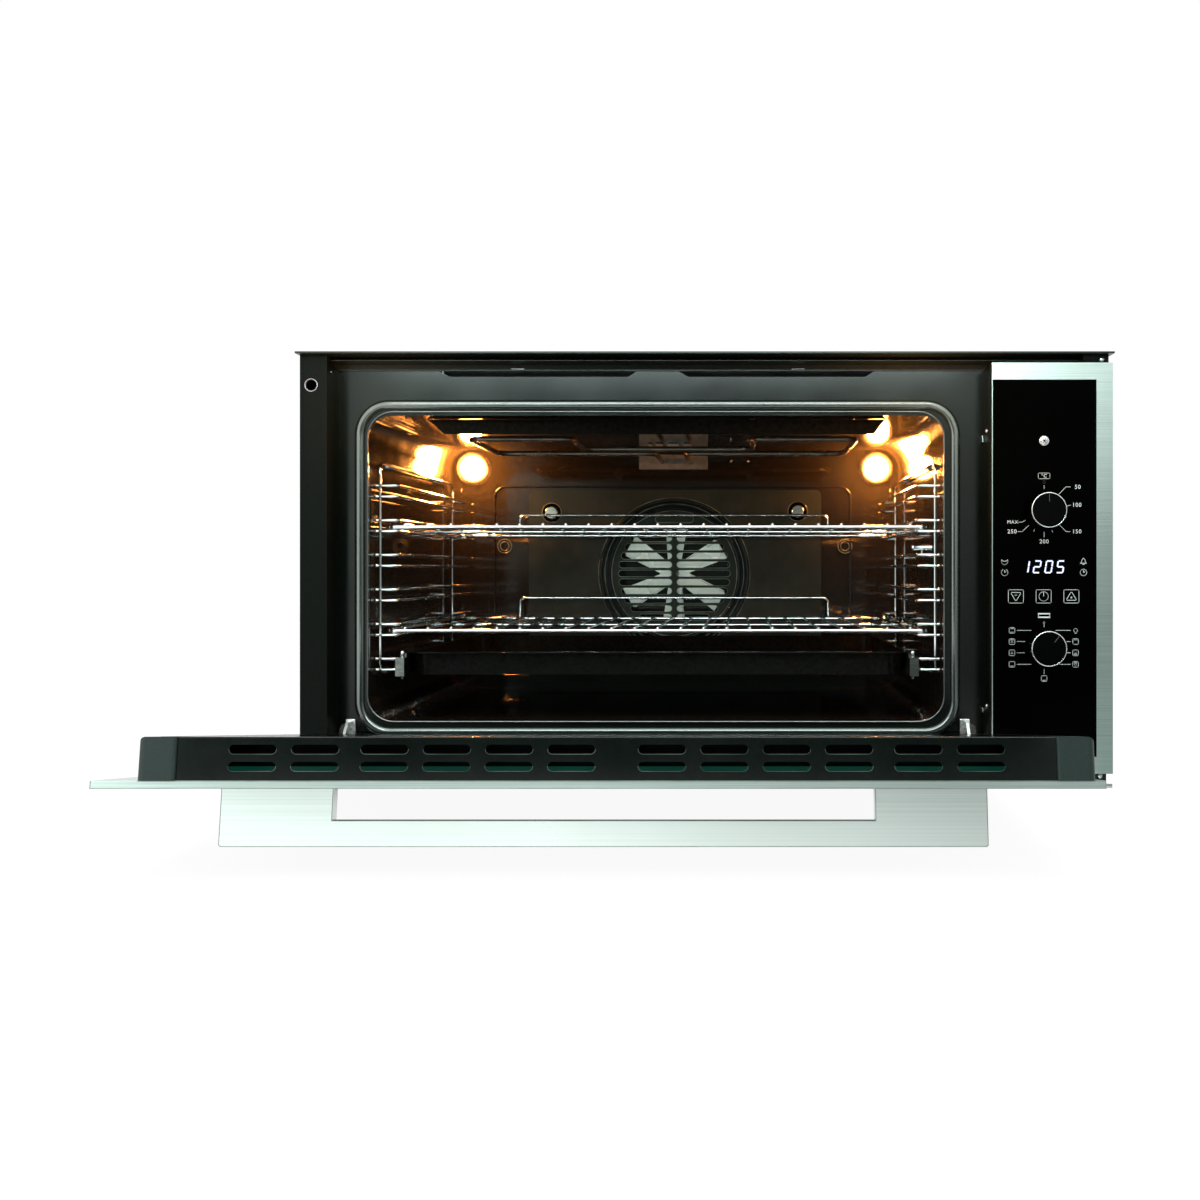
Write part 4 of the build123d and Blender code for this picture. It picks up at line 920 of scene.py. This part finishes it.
def turned_post(name, x):
    """Chrome post on the front end of a tray runner: a barrel with a small knob above and a tip below."""
    profile = [(0, 113.4), (1.5, 113.4), (2.3, 115), (2.3, 117.6), (3.4, 118.4), (3.6, 119.2), (3.6, 135.6),
               (3.3, 136.6), (1.3, 137.4), (1.3, 140.6), (2.2, 141.8), (2.5, 144), (2.0, 146.2), (0, 147.2)]
    bm = bmesh.new()
    steps = 24
    rings = [[bm.verts.new(Vector((x + r * math.cos(2 * math.pi * k / steps),
                                   37.6 + r * math.sin(2 * math.pi * k / steps), z)) * MM)
              for k in range(steps)] for r, z in profile]
    for low, high in zip(rings, rings[1:]):
        for k in range(steps):
            n = (k + 1) % steps
            bm.faces.new((low[k], low[n], high[n], high[k]))
    bmesh.ops.remove_doubles(bm, verts=bm.verts, dist=1e-6)
    return mesh_from(name, bm)


def wire_ends(shelf):
    """Rounded ends of a shelf's long wires, standing proud of its front rod."""
    low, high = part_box(shelf)
    centre = (low.x + high.x) / 2
    bm = bmesh.new()
    for step in range(-11, 12):
        place = Matrix.Translation((centre + step * 26.6 * MM, low.y + 1.9 * MM, low.z + 5.4 * MM))
        bmesh.ops.create_uvsphere(bm, u_segments=12, v_segments=8, radius=1.9 * MM, matrix=place)
    return mesh_from("wire_ends", bm)


posts = [turned_post("runner_posts", CAVITY_CENTRE + side * 295) for side in (-1, 1)]
joined_piece("runner_posts", posts, "chrome_wire", "tray")
add_piece("upper_wire_ends", wire_ends("wire_shelf_upper"), "ring_chrome", "upper_shelf", smooth=True)
add_piece("lower_wire_ends", wire_ends("wire_shelf_lower"), "ring_chrome", "lower_shelf", smooth=True)
stud_profile = [(0.0, 0.0), (1.4 * MM, 0.0), (1.4 * MM, 3 * MM), (2.0 * MM, 3.6 * MM), (2.0 * MM, 5.2 * MM),
                (0.0, 5.8 * MM)]
wall_studs = []
for side in (-1, 1):
    for z in RUNG_HEIGHTS:
        outward = [(radius, side * depth) for radius, depth in stud_profile]
        foot = Vector((CAVITY_CENTRE + side * 321.5, 40, z)) * MM
        wall_studs.append(lathe_mesh("wall_studs", outward, foot, 12, "X"))
joined_piece("wall_studs", wall_studs, "ring_chrome", "chassis")
clip_profile = [(radius * MM, depth * MM) for radius, depth in
                ((0, 0), (3.2, 0), (3.8, 0.8), (3.8, 2), (3.3, 2.8), (3.3, 21), (3.8, 22), (3.8, 23.4),
                 (3.2, 24.2), (0, 24.2))]
clip = lathe_mesh("ladder_clip", clip_profile, Vector((238, 44, 265.8)) * MM, 24, "X")
add_piece("ladder_clip", clip, "chrome_wire", "chassis", smooth=True)
block_piece("ladder_clip_foot", [(249, 250.6, 42.5, 45.5, 258.6, 262.6)], "ring_chrome", "chassis", 0.3)


# ---------------------------------------------------------------- studio
def camera_rays(tree):
    """1 for rays that show the background: seen directly, mirrored or through glass."""
    path = tree.nodes.new("ShaderNodeLightPath")
    first = tree.nodes.new("ShaderNodeMath")
    first.operation = "MAXIMUM"
    tree.links.new(path.outputs["Is Camera Ray"], first.inputs[0])
    tree.links.new(path.outputs["Is Glossy Ray"], first.inputs[1])
    second = tree.nodes.new("ShaderNodeMath")
    second.operation = "MAXIMUM"
    tree.links.new(first.outputs[0], second.inputs[0])
    tree.links.new(path.outputs["Is Transmission Ray"], second.inputs[1])
    return second.outputs[0]


def make_world():
    """Soft even light, with a white background wherever the background is seen."""
    world = bpy.data.worlds.new("studio")
    world.use_nodes = True
    bpy.context.scene.world = world
    tree = world.node_tree
    tree.nodes.clear()
    light = tree.nodes.new("ShaderNodeBackground")
    light.inputs["Color"].default_value = (1, 1, 1, 1)
    light.inputs["Strength"].default_value = 0.45
    white = tree.nodes.new("ShaderNodeBackground")
    white.inputs["Color"].default_value = (1, 1, 1, 1)
    white.inputs["Strength"].default_value = 1.0
    mix = tree.nodes.new("ShaderNodeMixShader")
    tree.links.new(camera_rays(tree), mix.inputs["Fac"])
    tree.links.new(light.outputs[0], mix.inputs[1])
    tree.links.new(white.outputs[0], mix.inputs[2])
    output = tree.nodes.new("ShaderNodeOutputWorld")
    tree.links.new(mix.outputs[0], output.inputs["Surface"])


def make_floor():
    """A pale floor that keeps the oven's soft shadow and meets the white background."""
    bm = bmesh.new()
    bmesh.ops.create_grid(bm, x_segments=1, y_segments=1, size=6.0)
    mesh = mesh_from("floor", bm)
    floor = bpy.data.objects.new("floor", mesh)
    floor.location.z = -0.0005
    bpy.context.scene.collection.objects.link(floor)
    material, tree, shader = new_finish("floor_pale")
    set_shader(shader, Base_Color=(0.93, 0.93, 0.93, 1), Roughness=0.9, Specular_IOR_Level=0.0)
    emission = tree.nodes.new("ShaderNodeEmission")
    emission.inputs["Color"].default_value = (1, 1, 1, 1)
    emission.inputs["Strength"].default_value = 1.09
    share = tree.nodes.new("ShaderNodeMath")
    share.operation = "MULTIPLY"
    share.inputs[1].default_value = 0.86
    tree.links.new(camera_rays(tree), share.inputs[0])
    mix = tree.nodes.new("ShaderNodeMixShader")
    tree.links.new(share.outputs[0], mix.inputs["Fac"])
    tree.links.new(shader.outputs[0], mix.inputs[1])
    tree.links.new(emission.outputs[0], mix.inputs[2])
    tree.links.new(mix.outputs[0], tree.nodes["Material Output"].inputs["Surface"])
    mesh.materials.append(material)


def mirrored_card(name, size, place, colour, strength, slope=None, tilt=0):
    """Glowing card that only mirrored rays meet. Along a slope, its strength goes from low to high."""
    half_width = size[0] / 2
    half_height = size[1] / 2
    bm = bmesh.new()
    corners = [(-half_width, 0, -half_height), (half_width, 0, -half_height),
               (half_width, 0, half_height), (-half_width, 0, half_height)]
    bm.faces.new([bm.verts.new(corner) for corner in corners])
    card = bpy.data.objects.new(name, mesh_from(name, bm))
    bpy.context.scene.collection.objects.link(card)
    card.location = place
    card.rotation_euler = (math.radians(tilt), 0, 0)
    card.visible_camera = False
    card.visible_diffuse = False
    card.visible_transmission = False
    card.visible_shadow = False
    material = bpy.data.materials.new(name)
    material.use_nodes = True
    tree = material.node_tree
    tree.nodes.clear()
    emission = tree.nodes.new("ShaderNodeEmission")
    emission.inputs["Color"].default_value = (*colour, 1)
    if slope is None:
        emission.inputs["Strength"].default_value = strength
    else:
        direction, start, end = slope
        geometry = tree.nodes.new("ShaderNodeNewGeometry")
        reach = tree.nodes.new("ShaderNodeVectorMath")
        reach.operation = "DOT_PRODUCT"
        reach.inputs[1].default_value = direction
        tree.links.new(geometry.outputs["Position"], reach.inputs[0])
        level = spread(tree, reach.outputs["Value"], *strength, start, end)
        tree.links.new(level, emission.inputs["Strength"])
    output = tree.nodes.new("ShaderNodeOutputMaterial")
    tree.links.new(emission.outputs[0], output.inputs["Surface"])
    card.data.materials.append(material)


def make_cards():
    """What the enamel, the steel and the wires mirror in front of the oven."""
    # Lying in front of the control side, for the foot of the steel frame.
    mirrored_card("low_card", (1.1, 0.95), (0.99, -0.48, 0.002), (0.8, 1.0, 0.94), 0.42, tilt=90)
    # Keeps the cavity from mirroring the bright studio.
    mirrored_card("dark_card", (1.04, 0.66), (-0.125, -0.93, 0.45), (0.6, 0.85, 0.75), (0.14, 1.5),
                  ((-1.0, 0.0, 1.0), 0.72, 1.08))
    # Gives the chrome wires their sharp highlights.
    mirrored_card("glint_card", (1.1, 0.13), (-0.09, -0.925, 0.70), (0.82, 1.0, 0.97), 19.0)
    # Bright on the left and above, darker at the right.
    mirrored_card("reflection_card", (5.2, 5.2), (0.0, -0.95, 2.6), (0.90, 1.0, 0.955), (0.16, 1.85),
                  ((-1.07, 0.0, 1.0), -0.62, 0.28))


def add_lamp(name, kind, place, watts, colour, aim=None, mirrored=True, **settings):
    """One lamp, turned towards its aim where it has one."""
    lamp = bpy.data.lights.new(name, kind)
    lamp.energy = watts
    lamp.color = colour
    for key, value in settings.items():
        setattr(lamp, key, value)
    holder = bpy.data.objects.new(name, lamp)
    bpy.context.scene.collection.objects.link(holder)
    holder.location = place
    holder.visible_glossy = mirrored
    if aim is not None:
        holder.rotation_euler = (Vector(aim) - Vector(place)).to_track_quat("-Z", "Y").to_euler()


def soft_lamp(name, place, width, height, watts):
    """A soft white studio lamp aimed at the oven."""
    add_lamp(name, "AREA", place, watts, (1, 1, 1), (0, 0, 0.2), shape="RECTANGLE", size=width, size_y=height)


def make_lamps():
    """Studio lamps, the beam on the fan, the oven's own lamps and the warm haze at its mouth."""
    # Cool narrow beam through the open door onto the fan.
    add_lamp("fan_light", "SPOT", (-0.03, -1.25, 0.245), 34, (0.78, 1.0, 0.90), (FAN_X * MM, 0.42, FAN_Z * MM),
             mirrored=False, spot_size=math.radians(7.4), spot_blend=0.4, shadow_soft_size=0.02)
    for name, place, watts in (("warm_spill_right", (0.225, -0.06, 0.43), 1.4),
                               ("warm_spill_left", (-0.37, -0.07, 0.42), 0.8)):
        add_lamp(name, "POINT", place, watts, (1.0, 0.40, 0.10), mirrored=False, shadow_soft_size=0.06)
    soft_lamp("soft_top", (0.1, -0.9, 2.2), 2.4, 1.6, 22)
    soft_lamp("soft_left", (-2.2, -1.4, 1.2), 1.4, 1.6, 14)
    soft_lamp("soft_right", (2.2, -1.4, 1.2), 1.4, 1.6, 14)
    lens_low, lens_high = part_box("lamp_lenses")
    lens_z = (lens_low.z + lens_high.z) / 2
    lens_radius = (lens_high.z - lens_low.z) / 2
    for index, lens_x in enumerate((lens_low.x + lens_radius, lens_high.x - lens_radius)):
        add_lamp(f"cavity_light_{index}", "POINT", (lens_x, lens_low.y - 0.010, lens_z), 5.6, (1.0, 0.33, 0.06),
                 shadow_soft_size=0.016)


def make_camera():
    """Camera in front of the oven, a little right of its middle and half-way up, level."""
    camera = bpy.data.cameras.new("camera")
    camera.lens = 35.47
    camera.sensor_width = 36.0
    camera.shift_x = -0.115
    camera.shift_y = -0.025
    holder = bpy.data.objects.new("camera", camera)
    bpy.context.scene.collection.objects.link(holder)
    holder.location = (0.0365, -1.3292, 0.240)
    holder.rotation_euler = (math.radians(90), 0, 0)
    bpy.context.scene.camera = holder


make_world()
make_floor()
make_cards()
make_lamps()
make_camera()

bpy.context.scene.view_settings.view_transform = "Standard"
